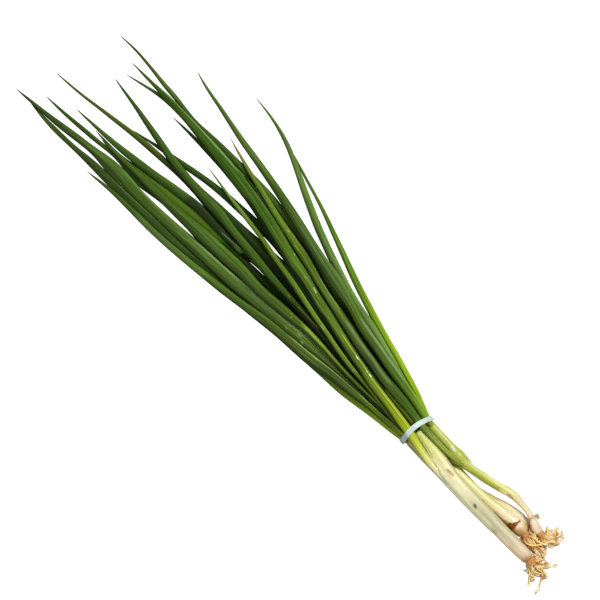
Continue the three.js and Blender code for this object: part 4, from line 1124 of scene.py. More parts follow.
LEAVES = [
    Leaf(
        name="onion_4_leaf_4",
        finish=LIME,
        seed=44,
        # Painted shade along the +Y edge, where the next leaf meets it.
        streaks=(Streak(0.35, 0.06, 26, 66, 0x1E3A04, 0.75),),
        route=[
            (-6, -8.3, 2.6), (0, -9.6, 2.8), (5, -11.2, 2.6), (10, -13.1, 2.8), (15, -14.9, 3),
            (20, -16.2, 3.3), (25, -17.3, 3.5), (30, -18.5, 3.7), (40, -21.1, 3.8), (50, -23.2, 4),
            (60, -25.6, 4.3), (66, -27.1, 4.6), (70, -28.3, 4.4), (80, -31, 4.4), (90, -33.95, 4.4),
            (100, -37.15, 4.1), (110, -40.55, 3.5), (120, -43.75, 3), (130, -47.15, 2.5), (140, -50.25, 2),
            (155, -54.15, 1.6), (170, -58.2, 1.1), (176, -59.8, 0.6),
        ],
    ),
    Leaf(
        name="onion_2_leaf_4",
        finish=SHADE,
        seed=24,
        route=[
            (60, 9.5, 2), (100, 12, 3.2), (150, 16.6, 4.4), (165, 17.2, 4.4), (176, 17, 3.8),
            (190, 16.9, 3.6), (200, 17.3, 3.4), (210, 18.6, 3.4), (220, 20.5, 4.1), (230, 20.7, 4.5),
            (238, 19.8, 2.9), (245, 20.2, 2.4), (250, 20.9, 2.4), (260, 22.4, 2.8), (265, 23, 2.7),
            (270, 23.6, 2.6), (285, 25.3, 1.7), (298, 26.1, 0.8),
        ],
    ),
    Leaf(
        name="onion_2_leaf_3",
        finish=SHADE,
        seed=23,
        # Painted light: a paler band along the top from 158 to 236, where the leaf shows between others.
        streaks=(Streak(0.5, 0.3, 158, 236, 0x5E7C1C, 0.6),),
        route=[
            (26, 5.4, 1.6), (40, 5.7, 2.2), (50, 5.8, 2.4), (68, 5.4, 3), (80, 5.6, 4.4), (100, 5.4, 4.4),
            (110, 5.6, 4.4), (120, 6, 4.9), (128, 6.25, 4.9), (135, 6.85, 5.1), (142, 7.3, 4.7),
            (150, 7.2, 4), (160, 7.6, 4.4), (170, 8.2, 4.6), (180, 9, 5), (190, 10.5, 6), (200, 11.8, 5.8),
            (210, 13, 4.8), (220, 14.4, 3.6), (230, 16, 2.8), (240, 18.2, 2), (250, 18.8, 1.6),
            (258, 18.5, 1.1), (263, 18.4, 0.6),
        ],
    ),
    Leaf(
        name="onion_3_leaf_4",
        finish=MID,
        seed=34,
        route=[
            (150, -24, 3), (170, -26.4, 4.2), (185, -27, 4), (200, -26.4, 3.4), (220, -25.6, 2.8),
            (230, -25.6, 2.9), (240, -25.5, 2.6), (250, -24.7, 2.5), (255, -23.5, 1.8), (260, -22.1, 1.5),
            (265, -20.9, 1.4), (275, -18, 0.7),
        ],
    ),
    Leaf(
        name="onion_3_leaf_3",
        finish=SHADE,
        seed=33,
        route=[
            (100, -13.6, 2.4), (115, -16.8, 2.6), (130, -19.6, 2.8), (140, -20.8, 3.4), (150, -20.8, 4),
            (165, -20, 3.6), (180, -21, 3), (200, -22.3, 3), (210, -22.2, 2.6), (220, -21.9, 1.8),
            (230, -21.3, 1.1), (237, -20.9, 0.6),
        ],
    ),
    Leaf(
        name="onion_3_leaf_5",
        finish=OLIVE,
        seed=35,
        route=[
            (110, -17.5, 1.4), (140, -21.9, 2), (150, -23.8, 2.2), (160, -25.8, 2), (168, -27, 1.6),
            (175, -27.9, 1.2), (182, -28.4, 0.8),
        ],
    ),
    Leaf(
        name="onion_3_leaf_2",
        finish=MID,
        seed=32,
        route=[
            (-2, -5.6, 2), (8, -6.8, 2.6), (22, -8.6, 2.6), (40, -10.8, 2.8), (60, -13.2, 3.4),
            (70, -15.2, 3.6), (80, -17.4, 4.4), (90, -18.6, 4.6), (100, -20, 4.6), (110, -22.3, 4.4),
            (120, -25, 4.4), (130, -26.9, 3.8), (140, -28.3, 4), (150, -29.85, 4.4), (160, -31.15, 4.4),
            (170, -31.15, 4.2), (180, -30.75, 4.6), (190, -30.3, 4.3), (200, -30, 4.2), (210, -29.6, 3.6),
            (220, -28.9, 2.9), (225, -28.4, 2.6), (230, -28.8, 2.5), (240, -29.7, 2.6), (247, -30.5, 2.9),
            (255, -30.4, 2.6), (260, -31.1, 2.1), (265, -31.4, 1.9), (275, -32, 1.5), (282, -32.2, 1.2),
            (295, -31.1, 0.6),
        ],
    ),
    Leaf(
        name="onion_3_leaf_1",
        finish=SHADE,
        seed=31,
        route=[
            (26, -6, 2.4), (46, -5.6, 3.4), (60, -6.4, 3.6), (75, -8.6, 4), (90, -11.4, 4.6),
            (100, -12.6, 4.4), (110, -12.8, 4.6), (120, -13.4, 5.4), (130, -13.7, 5), (140, -14.6, 4.8),
            (150, -14.5, 5), (160, -13.6, 5.2), (170, -12.7, 4.8), (180, -11.9, 4.4), (190, -10.6, 3.8),
            (200, -8.8, 3.7), (210, -6.6, 3.8), (220, -4.4, 3.2), (230, -2.4, 2), (235, -1.2, 1.4),
            (240, 0.2, 1.2), (247, 1.6, 0.6),
        ],
    ),
    Leaf(
        name="onion_2_leaf_2",
        finish=OLIVE,
        seed=22,
        route=[
            (26, 0.4, 2), (45, 0.4, 3.4), (55, 0.8, 3.8), (70, 0.2, 3.8), (120, -0.2, 3.6), (140, 0.4, 4),
            (150, 0.9, 4.2), (165, 0.9, 4), (175, 0.9, 4), (184, 0.4, 3.7), (190, -0.3, 3.3),
            (200, -0.6, 3.4), (210, -0.3, 3.4), (216, 0.2, 3.2), (223, 0.9, 3.4), (230, 1.5, 3.6),
            (240, 2.5, 3.6), (250, 4, 2.9), (260, 5.7, 2.5), (270, 7.3, 1.9), (285, 9.9, 1.4),
            (304, 12.1, 0.8),
        ],
    ),
    Leaf(
        name="onion_2_leaf_1",
        finish=MID,
        seed=21,
        # Painted shade over the leaf from 152 to 198, where it lies under others.
        streaks=(Streak(0.5, 0.5, 152, 198, 0x14240A, 0.8),),
        route=[
            (22, 1.2, 2), (40, 3.6, 2.2), (60, 4.6, 3.2), (90, 3.2, 3.6), (110, 2.4, 3.2), (125, 2.1, 3.6),
            (135, 1.75, 3.2), (139, 1.85, 3), (143, 3.2, 3.4), (150, 4, 3.4), (165, 4.6, 4.4),
            (180, 4.9, 4.9), (187, 4.7, 5.7), (190, 5.3, 5.6), (200, 6.9, 4.9), (210, 8.7, 4.9),
            (220, 10.9, 4.5), (230, 12.5, 4.45), (240, 14.2, 4.05), (250, 15.5, 3.05), (260, 16.5, 2.35),
            (265, 16.9, 1.7), (280, 18.1, 0.9),
        ],
        marks=(
            Mark((152, 3.4), (166, 4.9), 0.22, 0x9A9880, 0.43, 1.0),
            # Painted shade: two dark strokes where the leaf lies deep between others.
            Mark((170, 5), (186, 5), 1.6, 0x182404, 0.6, 1.0),
            Mark((143.6, 4.4), (148.4, 4.6), 1.2, 0x050802, 1.0, 0.5),
        ),
    ),
    Leaf(
        name="onion_1_leaf_4",
        finish=SHADE,
        seed=14,
        route=[
            (-8, 0.2, 2.6), (5, -0.9, 3.4), (15, -1.6, 3.2), (30, -2.6, 3.4), (60, -2.2, 3.8),
            (80, -2.2, 5), (90, -2.6, 6), (100, -3, 7), (110, -4.4, 9), (120, -5.6, 9.8), (126, -6.2, 10),
            (130, -6.2, 10), (133, -5.6, 8.2), (140, -5.7, 8.2), (148, -5.6, 7), (155, -5.2, 6),
            (160, -5, 5.2), (170, -4.9, 4), (180, -4.6, 2.8), (190, -4.1, 2), (203, -3.4, 0.8),
        ],
        # Painted light: a paler green stroke on the -Y side, where the leaf lies in shade.
        marks=(Mark((6, -1.7), (30, -3.2), 0.9, 0x78901A, 0.7, 1.0),),
    ),
    Leaf(
        name="onion_5_leaf_1",
        finish=EDGE,
        seed=51,
        route=[
            (-6, 8.6, 2.4), (5, 10.9, 1.8), (10, 11.8, 1.9), (15, 12.5, 2), (20, 12.9, 2.6),
            (30, 14.45, 3.1), (40, 16.5, 3), (50, 18.1, 2.9), (60, 18.4, 3.5), (70, 19.1, 3.7),
            (80, 19.9, 3.9), (90, 20.7, 4), (100, 21.5, 4.3), (115, 22.9, 4.4), (130, 24, 4.2),
            (150, 25.4, 4.4), (160, 26.7, 4.2), (180, 29.1, 5.1), (190, 30.1, 5.1), (200, 30.9, 5.1),
            (210, 31.6, 5), (220, 32.4, 5), (230, 33, 5.1), (240, 33.3, 5), (245, 33.3, 5),
            (250, 33.5, 4.6), (260, 34.4, 3.3), (265, 34.9, 2.7), (270, 35.35, 2.9), (280, 35.85, 2.9),
            (288, 36.15, 2.2), (295, 35.9, 1.4), (301, 35.8, 0.8),
        ],
        # A painted highlight along the -Y edge.
        streaks=(Streak(0.66, 0.035, 175, 245, 0x7FA04A, 0.5),),
    ),
    Leaf(
        name="onion_4_leaf_3",
        finish=PALE,
        seed=43,
        route=[
            (0, -9.4, 2), (14, -12, 2.4), (30, -15, 3), (40, -17, 4.6), (50, -19, 4.6), (60, -21.6, 5),
            (66, -22.5, 5.3), (70, -23, 5.2), (75, -23.8, 4.8), (80, -24.8, 4.5), (90, -27.3, 4.6),
            (100, -30.3, 4.7), (110, -33, 5.3), (120, -36.4, 4.9), (130, -39.7, 5), (140, -43.8, 4.5),
            (150, -47.9, 4.3), (160, -52.4, 3.8), (180, -60.55, 2.8), (190, -63.05, 1.9),
            (200, -64.65, 1.1), (212, -65.4, 0.6),
        ],
    ),
    Leaf(
        name="onion_4_leaf_2",
        finish=BLOOM,
        seed=42,
        route=[
            (-9, -7.9, 3.4), (-1, -8.3, 4.6), (5, -9.6, 5.3), (10, -10.4, 4.7), (20, -12.1, 4.7),
            (30, -13.1, 5.8), (40, -14.5, 6), (50, -15.9, 5.6), (60, -17.1, 5.8), (70, -18.8, 6),
            (80, -21.8, 5.6), (90, -23.6, 6.6), (100, -25.4, 7.6), (110, -26.8, 6.7), (120, -28.7, 6.4),
            (130, -30.8, 5.8), (140, -32.8, 5.8), (150, -34.6, 5.4), (160, -36.4, 5), (180, -39.4, 4.2),
            (200, -42, 3.4), (220, -45.4, 2.4), (240, -48.4, 1.3), (247, -50.3, 0.8),
        ],
        # The three thin streaks are painted highlights along the -Y edge; the wider one is a paler band.
        streaks=(
            Streak(0.67, 0.022, 8, 44, 0xA6BA80, 0.45),
            Streak(0.66, 0.02, 48, 68, 0xB4C48E, 0.5),
            Streak(0.69, 0.018, 86, 112, 0xA0B880, 0.5),
            Streak(0.6, 0.06, 24, 74, 0x8AA478, 0.35),
        ),
    ),
    Leaf(
        name="onion_5_leaf_3",
        finish=BROAD,
        seed=53,
        route=[
            (6, 8.2, 2.8), (14, 9.4, 3.6), (22, 10.1, 3.8), (30, 10.9, 4.2), (40, 11.3, 4.9),
            (50, 11.3, 5.2), (60, 11.3, 5.2), (70, 12, 5.8), (80, 12.6, 7), (90, 13.3, 7.4),
            (100, 14.8, 6.6), (110, 16.1, 6.8), (120, 17.7, 7.2), (130, 18.8, 7.6), (140, 19.9, 8.1),
            (150, 20.8, 7.6), (160, 21.4, 7.3), (170, 22.1, 7.4), (180, 23.2, 6.8), (190, 24.2, 6.5),
            (200, 25.1, 6.3), (210, 25.8, 6.5), (220, 26.3, 6.9), (230, 26.35, 8.5), (240, 26.5, 8.4),
            (245, 26.6, 7.4), (250, 26.8, 5.6), (255, 27.5, 4.6), (260, 28.3, 4.2), (270, 29.9, 4.4),
            (280, 31.8, 3.9), (290, 33.3, 2.8), (305, 35.2, 1.5), (314, 36.3, 0.8),
        ],
        # Painted light along the -Y side, where onion_5_leaf_4 shades it, and painted highlights further on.
        streaks=(
            Streak(0.66, 0.07, 56, 176, 0x9EC080, 0.6),
            Streak(0.64, 0.12, 84, 132, 0x7C9A62, 0.25),
            Streak(0.69, 0.05, 200, 236, 0x76A050, 0.4),
        ),
        marks=(
            Mark((84.8, 14.7), (86.2, 14.4), 0.37, 0xA9B97A, 0.43, 1.0),
            Mark((88.6, 12.7), (91, 12.6), 0.31, 0xA9B97A, 0.43, 1.0),
            Mark((90, 10.6), (91.4, 9.9), 0.31, 0xB3BE84, 0.43, 1.0),
            Mark((97.6, 15.9), (98.8, 15.5), 0.31, 0x92A95E, 0.36, 1.0),
            Mark((83.6, 9.4), (85, 9.0), 0.31, 0x92A060, 0.36, 1.0),
        ),
    ),
    Leaf(
        name="onion_5_leaf_4",
        finish=MID,
        seed=54,
        # Painted light on the -Y side, where the leaves beside it shade it, and painted shade along the +Y
        # side.
        streaks=(Streak(0.57, 0.1, 24, 96, 0xA2C43C, 0.6), Streak(0.36, 0.06, 14, 72, 0x101C04, 0.7)),
        route=[
            (6, 6.4, 2), (20, 6.4, 2), (30, 7, 1.9), (40, 7.5, 2.7), (50, 7.9, 3), (60, 7.8, 2.7),
            (70, 7.5, 3.2), (80, 7.35, 4.1), (90, 7.55, 4.3), (100, 9.1, 5.4), (110, 9.9, 6),
            (120, 11.4, 6.1), (130, 12.05, 6.2), (140, 11.8, 7.2), (150, 12.6, 8.1), (160, 13.3, 8),
            (170, 14.1, 8.2), (180, 14.9, 7.3), (190, 15.9, 6.1), (200, 16.6, 5.2), (210, 17.2, 4.6),
            (220, 17.6, 4.2), (240, 18.6, 2.6), (250, 19.2, 1.8), (256, 19.6, 0.8),
        ],
        marks=(
            Mark((158.8, 11), (160.6, 10.9), 0.25, 0x4A3410, 0.61, 1.0),
            Mark((158.6, 10.3), (161.5, 10.2), 0.19, 0x9CAA60, 0.43, 1.0),
            Mark((79.5, 6.9), (84, 7.3), 0.31, 0x9AAA70, 0.36, 1.0),
            Mark((204.6, 17.9), (211.5, 17.5), 0.5, 0x2E3E10, 0.43, 1.0),
        ),
    ),
    Leaf(
        name="onion_1_leaf_3",
        finish=DEEP,
        seed=13,
        # Painted shade on the +Y side.
        streaks=(Streak(0.3, 0.14, 184, 226, 0x182806, 0.7),),
        route=[
            (-6, 2, 2.6), (10, 3.6, 3), (20, 4, 3), (28, 3.8, 3), (50, 2.8, 3.4), (85, 2.3, 3.8),
            (100, 1.65, 3.6), (110, 1.7, 3.6), (120, 1.6, 4), (130, 1.2, 4.6), (140, 0.7, 5),
            (150, -0.2, 4.6), (160, -0.4, 4.8), (170, -1.5, 5.4), (180, -2.3, 6.6), (190, -2, 6),
            (200, -1.9, 4.9), (210, -2.4, 5), (220, -3.2, 4.5), (230, -4.9, 4.2), (240, -6.3, 3.6),
            (250, -7.8, 2.9), (260, -9.2, 2), (270, -10.3, 1.3), (278, -11.4, 0.8),
        ],
        marks=(
            Mark((85, 1.7), (103, 1.5), 0.22, 0x9A9A48, 0.43, 1.0),
            Mark((110.5, 1.4), (112, 1.3), 0.25, 0x9AA83C, 0.36, 1.0),
        ),
    ),
    Leaf(
        name="onion_5_leaf_2",
        finish=NEAR,
        seed=52,
        route=[
            (-6, 7.8, 2.6), (5, 8.7, 3.2), (10, 9.15, 3.1), (20, 10.05, 3.1), (30, 11.15, 3.4),
            (40, 12.7, 4.3), (50, 13.95, 5.1), (60, 15.4, 6), (70, 17.3, 7), (80, 18.85, 6.2),
            (90, 19.8, 5.9), (100, 20.9, 5.5), (110, 22.35, 5.8), (120, 24.05, 5.2), (130, 25.95, 4.5),
            (140, 27.7, 4.6), (150, 29, 4.6), (160, 30.5, 4.3), (170, 31.9, 4.2), (180, 33.2, 4),
            (190, 34.2, 3.7), (200, 34.9, 3.5), (210, 35.15, 3.3), (220, 35.55, 2.7), (230, 36.25, 2.1),
            (240, 37.5, 1.4), (249, 39.1, 0.7),
        ],
        # Painted shade on the +Y side, painted highlights along the -Y side, brightest near the foot where
        # the leaf lies in shade, and a paler top from 150 to 212.
        streaks=(
            Streak(0.5, 0.3, 150, 212, 0x6C8C42, 0.22),
            Streak(0.66, 0.05, 30, 96, 0xA2B866, 0.6),
            Streak(0.61, 0.05, 6, 40, 0xB8CC70, 0.55),
            Streak(0.3, 0.14, 10, 95, 0x24380A, 0.6),
        ),
        marks=(Mark((71.5, 15.2), (74.5, 15.1), 0.28, 0xB2C080, 0.43, 1.0),),
    ),
    Leaf(
        name="onion_4_leaf_1",
        finish=DARK,
        seed=41,
        route=[
            (-38, -6.2, 2.4), (-27, -4.4, 2.6), (-20, -3.9, 3.2), (-5, -3.9, 3.7), (5, -4.45, 3.9),
            (10, -5.1, 4.6), (15, -5.6, 5.2), (20, -5.9, 5.4), (30, -6.2, 5.8), (40, -6.95, 5.7),
            (50, -8.4, 5.5), (60, -9.35, 5.5), (70, -11.4, 5.4), (80, -13, 5.2), (90, -14.55, 4.5),
            (100, -16.3, 4.2), (110, -18.5, 4.7), (120, -21, 5.4), (130, -22.6, 4.9), (140, -24.15, 4),
            (150, -25.75, 3.8), (160, -27.9, 3.5), (170, -30, 3), (180, -31.8, 2.6), (190, -34.2, 1.6),
            (200, -36.4, 1), (205, -37.8, 0.6),
        ],
        # Painted highlights, with a band of painted shade on the -Y side between them.
        streaks=(
            Streak(0.55, 0.06, 28, 80, 0x7E9A64, 0.35),
            Streak(0.72, 0.13, 28, 84, 0x22320A, 0.7),
            Streak(0.64, 0.05, 84, 108, 0x86A05A, 0.5),
        ),
        marks=(
            Mark((127.5, -21.6), (131, -21.9), 0.31, 0xA6B45C, 0.43, 1.0),
            Mark((139.4, -25), (140.6, -25), 0.31, 0xC2BE58, 0.58, 1.0),
            Mark((185, -32.8), (204, -37.0), 0.56, 0x868A3C, 0.25, 1.0),
        ),
    ),
    Leaf(
        name="onion_1_leaf_2",
        finish=FRESH,
        seed=12,
        route=[
            (-4, 5, 1.8), (5, 6.6, 1.8), (12, 6.6, 2), (20, 6.05, 1.9), (30, 5.05, 1.9), (40, 4, 1.9),
            (50, 3.65, 2.5), (60, 2.9, 2.6), (70, 1.5, 2.7), (80, -0.35, 2.6), (90, -1.5, 2.9),
            (100, -3.15, 3), (110, -4.9, 3.4), (120, -6.6, 3.1), (130, -7.7, 3.2), (140, -9, 2.8),
            (150, -10.75, 2.6), (160, -11.6, 2.5), (170, -12.5, 2.3), (180, -13.3, 1.6), (190, -14.75, 0.9),
            (201, -15.8, 0.5),
        ],
        marks=(
            Mark((51.6, 3.5), (53, 3.3), 0.25, 0xC0CCA0, 0.43, 1.0),
            Mark((82, -0.2), (85, -0.8), 0.31, 0xBAC68E, 0.36, 1.0),
        ),
    ),
    Leaf(
        name="onion_1_leaf_1",
        finish=BRIGHT,
        seed=10,
        sides=36,
        foot_heights=((-46, 12.6), (-38, 13.8), (-31, 14.6), (-24, 15.4), (-17, 16.1)),
        route=[
            (-46, 4.8, 3), (-38, 6.8, 3.2), (-31, 8, 3.4), (-24, 7.9, 3.6), (-17, 7.5, 4), (-8, 6.4, 4.6),
            (2, 4.2, 5), (10, 3.5, 5.4), (20, 2.1, 4.8), (30, 1.2, 4.8), (40, 0.35, 5.3), (50, -1.45, 5.2),
            (60, -2.65, 5.2), (70, -4.35, 5.7), (80, -6.2, 5.7), (90, -8.15, 6.3), (100, -9.5, 6.7),
            (110, -11.95, 7.4), (120, -13.45, 7.9), (130, -15.1, 7.8), (140, -17.3, 8.4), (150, -19.1, 8.6),
            (160, -20.95, 8), (170, -22.4, 7.7), (180, -23.5, 7.5), (190, -24.5, 7.2), (200, -25.4, 6.8),
            (210, -25.8, 6.3), (220, -26, 5.6), (230, -26.4, 4.4), (240, -26.4, 4), (250, -26.3, 3.4),
            (255, -26, 2.6), (260, -25.8, 2), (265, -25.6, 1.6), (278, -25.3, 0.8),
        ],
        # Painted highlights along the fold and the -Y edge, and painted shade on the +Y face of the fold.
        streaks=(
            Streak(0.57, 0.035, -4, 78, 0xB4C254, 0.55),
            Streak(0.69, 0.035, 150, 240, 0x8CB058, 0.3),
            Streak(0.63, 0.05, 184, 266, 0x8AB45C, 0.5),
            Streak(0.42, 0.055, 92, 176, 0x0C1A02, 0.8),
            Streak(0.3, 0.17, 34, 182, 0x0C1A02, 0.95),
        ),
        marks=(
            Mark((42.6, -1.7), (43.8, -1.9), 0.31, 0xF2F4E0, 0.68, 1.0),
            Mark((45.6, -1.8), (47, -2.1), 0.25, 0xDFE6BC, 0.5, 1.0),
            Mark((55.2, -3.3), (57, -3.5), 0.31, 0xF0F3DC, 0.61, 1.0),
            Mark((101.5, -12), (104.5, -12.9), 0.34, 0xD4E0AA, 0.5, 1.0),
            Mark((126.6, -18), (127.4, -18.2), 0.28, 0xB3C27C, 0.5, 1.0),
            Mark((112, -13.2), (113.2, -13.6), 0.25, 0x9EB26A, 0.43, 1.0),
        ),
    ),
]


# Roots


@dataclass(frozen=True)
class FibreFinish:
    """Dry fibrous roots, palest at their tips, browner at the crown and in blotches, and deeper gold near the
    floor as painted shade.
    """

    slot: Slot = Slot.ROOT
    tip: int = 0xFFE8C4
    light: int = 0xFFE2A4
    middle: int = 0xFFCE7E
    painted_low_shade: int = 0xEE9830
    dark: int = 0xB26208
    tip_strength: float = 0.6
    painted_low_shade_strength: float = 0.7
    stain_strength: float = 0.74
    grain_strength: float = 0.2
    roughness: float = 0.62

    def material(self, effects: Effects) -> bpy.types.Material:
        """Build the material of the threads and crowns."""
        material, sheet, shader = start_material("root_fibre")
        share = sheet.place_on_skin()[1]
        place = sheet.place_in_part()
        height = sheet.add("ShaderNodeSeparateXYZ", {0: place}).outputs[2]
        patches = effects.place(sheet, Effect.PATCHES, Place=place, Scale=260.0, Seed=5.0)
        grain = sheet.noise(place, 2600.0, 3.0)
        blotches = sheet.ease(sheet.noise(place, 230.0, 2.0), 0.57, 0.68)
        near_tip = sheet.ease(share, 0.4, 0.9)
        # Painted shade: threads near the floor turn deeper gold.
        painted_low_shade_mask = sheet.ease(height, 0.0045, 0.001)
        near_crown = sheet.ease(share, 0.26, 0.0)
        stained = sheet.math("MAXIMUM", near_crown, blotches)
        colour = sheet.mix(patches, display_colour(self.middle), display_colour(self.light))
        colour = sheet.tint(colour, near_tip, self.tip_strength, self.tip)
        colour = sheet.tint(colour, painted_low_shade_mask, self.painted_low_shade_strength, self.painted_low_shade)
        colour = sheet.tint(colour, stained, self.stain_strength, self.dark)
        colour = sheet.tint(colour, sheet.ease(grain, 0.5, 0.8), self.grain_strength, self.dark)
        sheet.feed(shader.inputs["Base Color"], colour)
        shader.inputs["Roughness"].default_value = self.roughness
        shader.inputs["Subsurface Weight"].default_value = 0.5
        shader.inputs["Subsurface Radius"].default_value = (1.0, 0.7, 0.4)
        shader.inputs["Subsurface Scale"].default_value = 0.0012
        sheet.roughen(shader, grain, 0.5, 0.0001)
        return material


@dataclass
class RootTuft:
    """The short crown of one plant and the threads that grow from it.

    A lobe is (x, y, spread, threads): where a lock of threads ends in the bunch's millimetres, how far
    its ends lie apart, and how many it has. Arms are the far ends of the few longer roots. The crown's
    profile is (how far out from the stem's end in millimetres, its radius as a share of the stem's).
    """

    stem: Stem
    lobes: tuple[tuple[float, float, float, int], ...]
    seed: int
    arms: tuple[tuple[float, float], ...] = ()
    radius: float = 0.62
    tip_radius: float = 0.24
    step: float = 0.6
    curl: float = 0.36
    pull: float = 0.2
    slack: float = 1.35
    steadiness: float = 0.75
    highest: float = 0.4
    sides: int = 6
    crown_sides: int = 24
    crown_profile: tuple[tuple[float, float], ...] = (
        (0.4, 0.9), (-0.4, 0.97), (-1.2, 0.92), (-2.0, 0.75), (-2.8, 0.5), (-3.0, 0.2),
    )
    lumpiness: float = 0.1
    raggedness: float = 0.25

    @property
    def plant(self) -> str:
        """The plant's name."""
        return self.stem.name.removesuffix("_stem")

    def mesh(self, layout: Layout) -> bpy.types.Mesh:
        """Build the crown and its threads as one mesh."""
        draw = np.random.default_rng(self.seed)
        base_x = self.stem.route[0][0]
        y, z, half_width = (float(value[0]) for value in self.stem.middle(np.array([base_x])))
        base = np.array([base_x, y, z])
        meshes = [self._crown(layout, base, half_width)]
        for x, y, spread, threads in self.lobes:
            for _ in range(threads):
                turn, out = draw.uniform(0, 2 * math.pi), spread * math.sqrt(draw.uniform(0, 1))
                goal = (x + out * math.cos(turn), y + out * math.sin(turn))
                meshes.append(self._thread(layout, base, half_width, goal, draw))
        for arm in self.arms:
            for spread in (-0.5, 0.5):
                goal = (arm[0] + spread, arm[1] - spread)
                meshes.append(self._thread(layout, base, half_width, goal, draw))
        return join_meshes(f"{self.plant}_roots", meshes)

    def _crown(self, layout: Layout, base: np.ndarray, half_width: float) -> bpy.types.Mesh:
        """The rough brown plate that the threads leave."""
        back, share = np.array(self.crown_profile).T
        angles = np.arange(self.crown_sides) * 2 * math.pi / self.crown_sides
        draw = np.random.default_rng(self.seed + 1)
        lumps = 1 + self.lumpiness * draw.standard_normal((len(back), len(angles)))
        size = half_width * share[:, None] * lumps
        rings = np.stack(
            [
                base[0] + back[:, None] + self.raggedness * draw.standard_normal(size.shape),
                base[1] + size * np.cos(angles),
                base[2] + 0.9 * size * np.sin(angles),
            ],
            -1,
        )
        return grid_mesh("crown", layout.to_part(rings[::-1]), np.zeros(len(back)))

    def _thread(
        self,
        layout: Layout,
        base: np.ndarray,
        half_width: float,
        goal: tuple[float, float],
        draw: np.random.Generator,
    ) -> bpy.types.Mesh:
        """One root, which leaves the crown and curls its way to its goal.

        Args:
            layout: The bunch's layout.
            base: The middle of the stem's root end.
            half_width: Half the stem's width there.
            goal: Where on the floor plan the root ends.
            draw: The tuft's random numbers.

        Returns:
            The root's mesh.
        """
        turn = draw.uniform(0, 2 * math.pi)
        out = math.sqrt(draw.uniform(0.05, 1.0)) * 0.8
        way_y, way_z = math.cos(turn), math.sin(turn)
        point = base + np.array([-0.8 - 1.4 * (1 - out), out * half_width * way_y, out * half_width * way_z])
        top = base[2] + half_width + self.highest
        radius = self.radius * draw.uniform(0.6, 1.1)
        end = np.array([goal[0], goal[1], draw.uniform(radius, top * 0.75)])
        heading = np.array([-1.0, 0.5 * out * way_y, 0.4 * out * way_z])
        bend = draw.standard_normal(3) * self.curl
        bend_share = np.array([0.5, 0.6, 0.4])
        steps = round(self.slack * np.linalg.norm(end - point) / self.step) + 5
        path = [point.copy()]
        for k in range(steps):
            bend = self.steadiness * bend + draw.standard_normal(3) * self.curl * bend_share
            homeward = (end - point) / max(np.linalg.norm(end - point), 1.0)
            share = k / steps
            heading = heading + bend * self.step + homeward * self.pull * (1 + 5 * share)
            heading = heading / np.linalg.norm(heading)
            point = point + heading * self.step
            point[2] = min(max(point[2], radius + 0.03), top)
            path.append(point.copy())
        return thread_mesh("thread", layout, np.array(path), radius, self.tip_radius, self.sides)


def thread_mesh(
    name: str, layout: Layout, path: np.ndarray, radius: float, tip_radius: float, sides: int
) -> bpy.types.Mesh:
    """A thin round thread along a path.

    Args:
        name: The mesh's name.
        layout: The bunch's layout.
        path: Points in the bunch's millimetres.
        radius: Its radius at the start.
        tip_radius: Its radius at the tip.
        sides: The corners of a section.

    Returns:
        The mesh, whose UV map runs from 0 to 1 along the thread.
    """
    tangents = np.gradient(path, axis=0)
    tangents /= np.linalg.norm(tangents, axis=1)[:, None]
    side = np.cross(tangents, np.array([0.1, 0.2, 1.0]))
    side /= np.linalg.norm(side, axis=1)[:, None]
    up = np.cross(side, tangents)
    share = np.linspace(0, 1, len(path))
    size = radius + (tip_radius - radius) * share**1.3
    angles = np.arange(sides) * 2 * math.pi / sides
    spokes = side[:, None, :] * np.cos(angles)[None, :, None] - up[:, None, :] * np.sin(angles)[None, :, None]
    rings = path[:, None, :] + spokes * size[:, None, None]
    return grid_mesh(name, layout.to_part(rings), share)


def join_meshes(name: str, meshes: Sequence[bpy.types.Mesh]) -> bpy.types.Mesh:
    """One mesh from several, with their UV maps. The several are removed."""
    points, faces, corners, start = [], [], [], 0
    for mesh in meshes:
        points.append(np.array([vertex.co for vertex in mesh.vertices], float))
        faces += [[start + k for k in polygon.vertices] for polygon in mesh.polygons]
        corners.append(np.array([loop.vector for loop in mesh.uv_layers["skin"].uv], np.float32))
        start += len(mesh.vertices)
        bpy.data.meshes.remove(mesh)
    joined = bpy.data.meshes.new(name)
    joined.from_pydata(np.vstack(points).tolist(), [], faces)
    layer = joined.uv_layers.new(name="skin")
    layer.uv.foreach_set("vector", np.vstack(corners).ravel())
    joined.shade_smooth()
    joined.update()
    return joined


# Dry skins


@dataclass(frozen=True)
class PaperFinish:
    """Thin dry skin, brown where it is creased."""

    slot: Slot = Slot.DRY_SKIN
    light: int = 0xF2D49C
    dark: int = 0x84480C
    roughness: float = 0.55

    def material(self, effects: Effects, darkness: float) -> bpy.types.Material:
        """Build the material.

        Args:
            effects: The shared effects.
            darkness: How brown it has turned, from 0 to 1.

        Returns:
            The material.
        """
        material, sheet, shader = start_material("dry_skin")
        across, along = sheet.place_on_skin()
        place = sheet.place_in_part()
        veins = effects.place(
            sheet, Effect.RIBS, Around=along, Along=across, Count=900.0, Waver=4.0, Seed=2.0
        )
        patches = effects.place(sheet, Effect.PATCHES, Place=place, Scale=420.0, Seed=9.0)
        stain = sheet.math("ADD", sheet.math("MULTIPLY", patches, 0.5), darkness, is_clamped=True)
        colour = sheet.mix(stain, display_colour(self.light), display_colour(self.dark))
        colour = sheet.tint(colour, veins, 0.4, self.dark)
        sheet.feed(shader.inputs["Base Color"], colour)
        shader.inputs["Roughness"].default_value = self.roughness
        shader.inputs["Specular IOR Level"].default_value = 0.1
        sheet.roughen(shader, veins, 0.6, 0.0002)
        return material


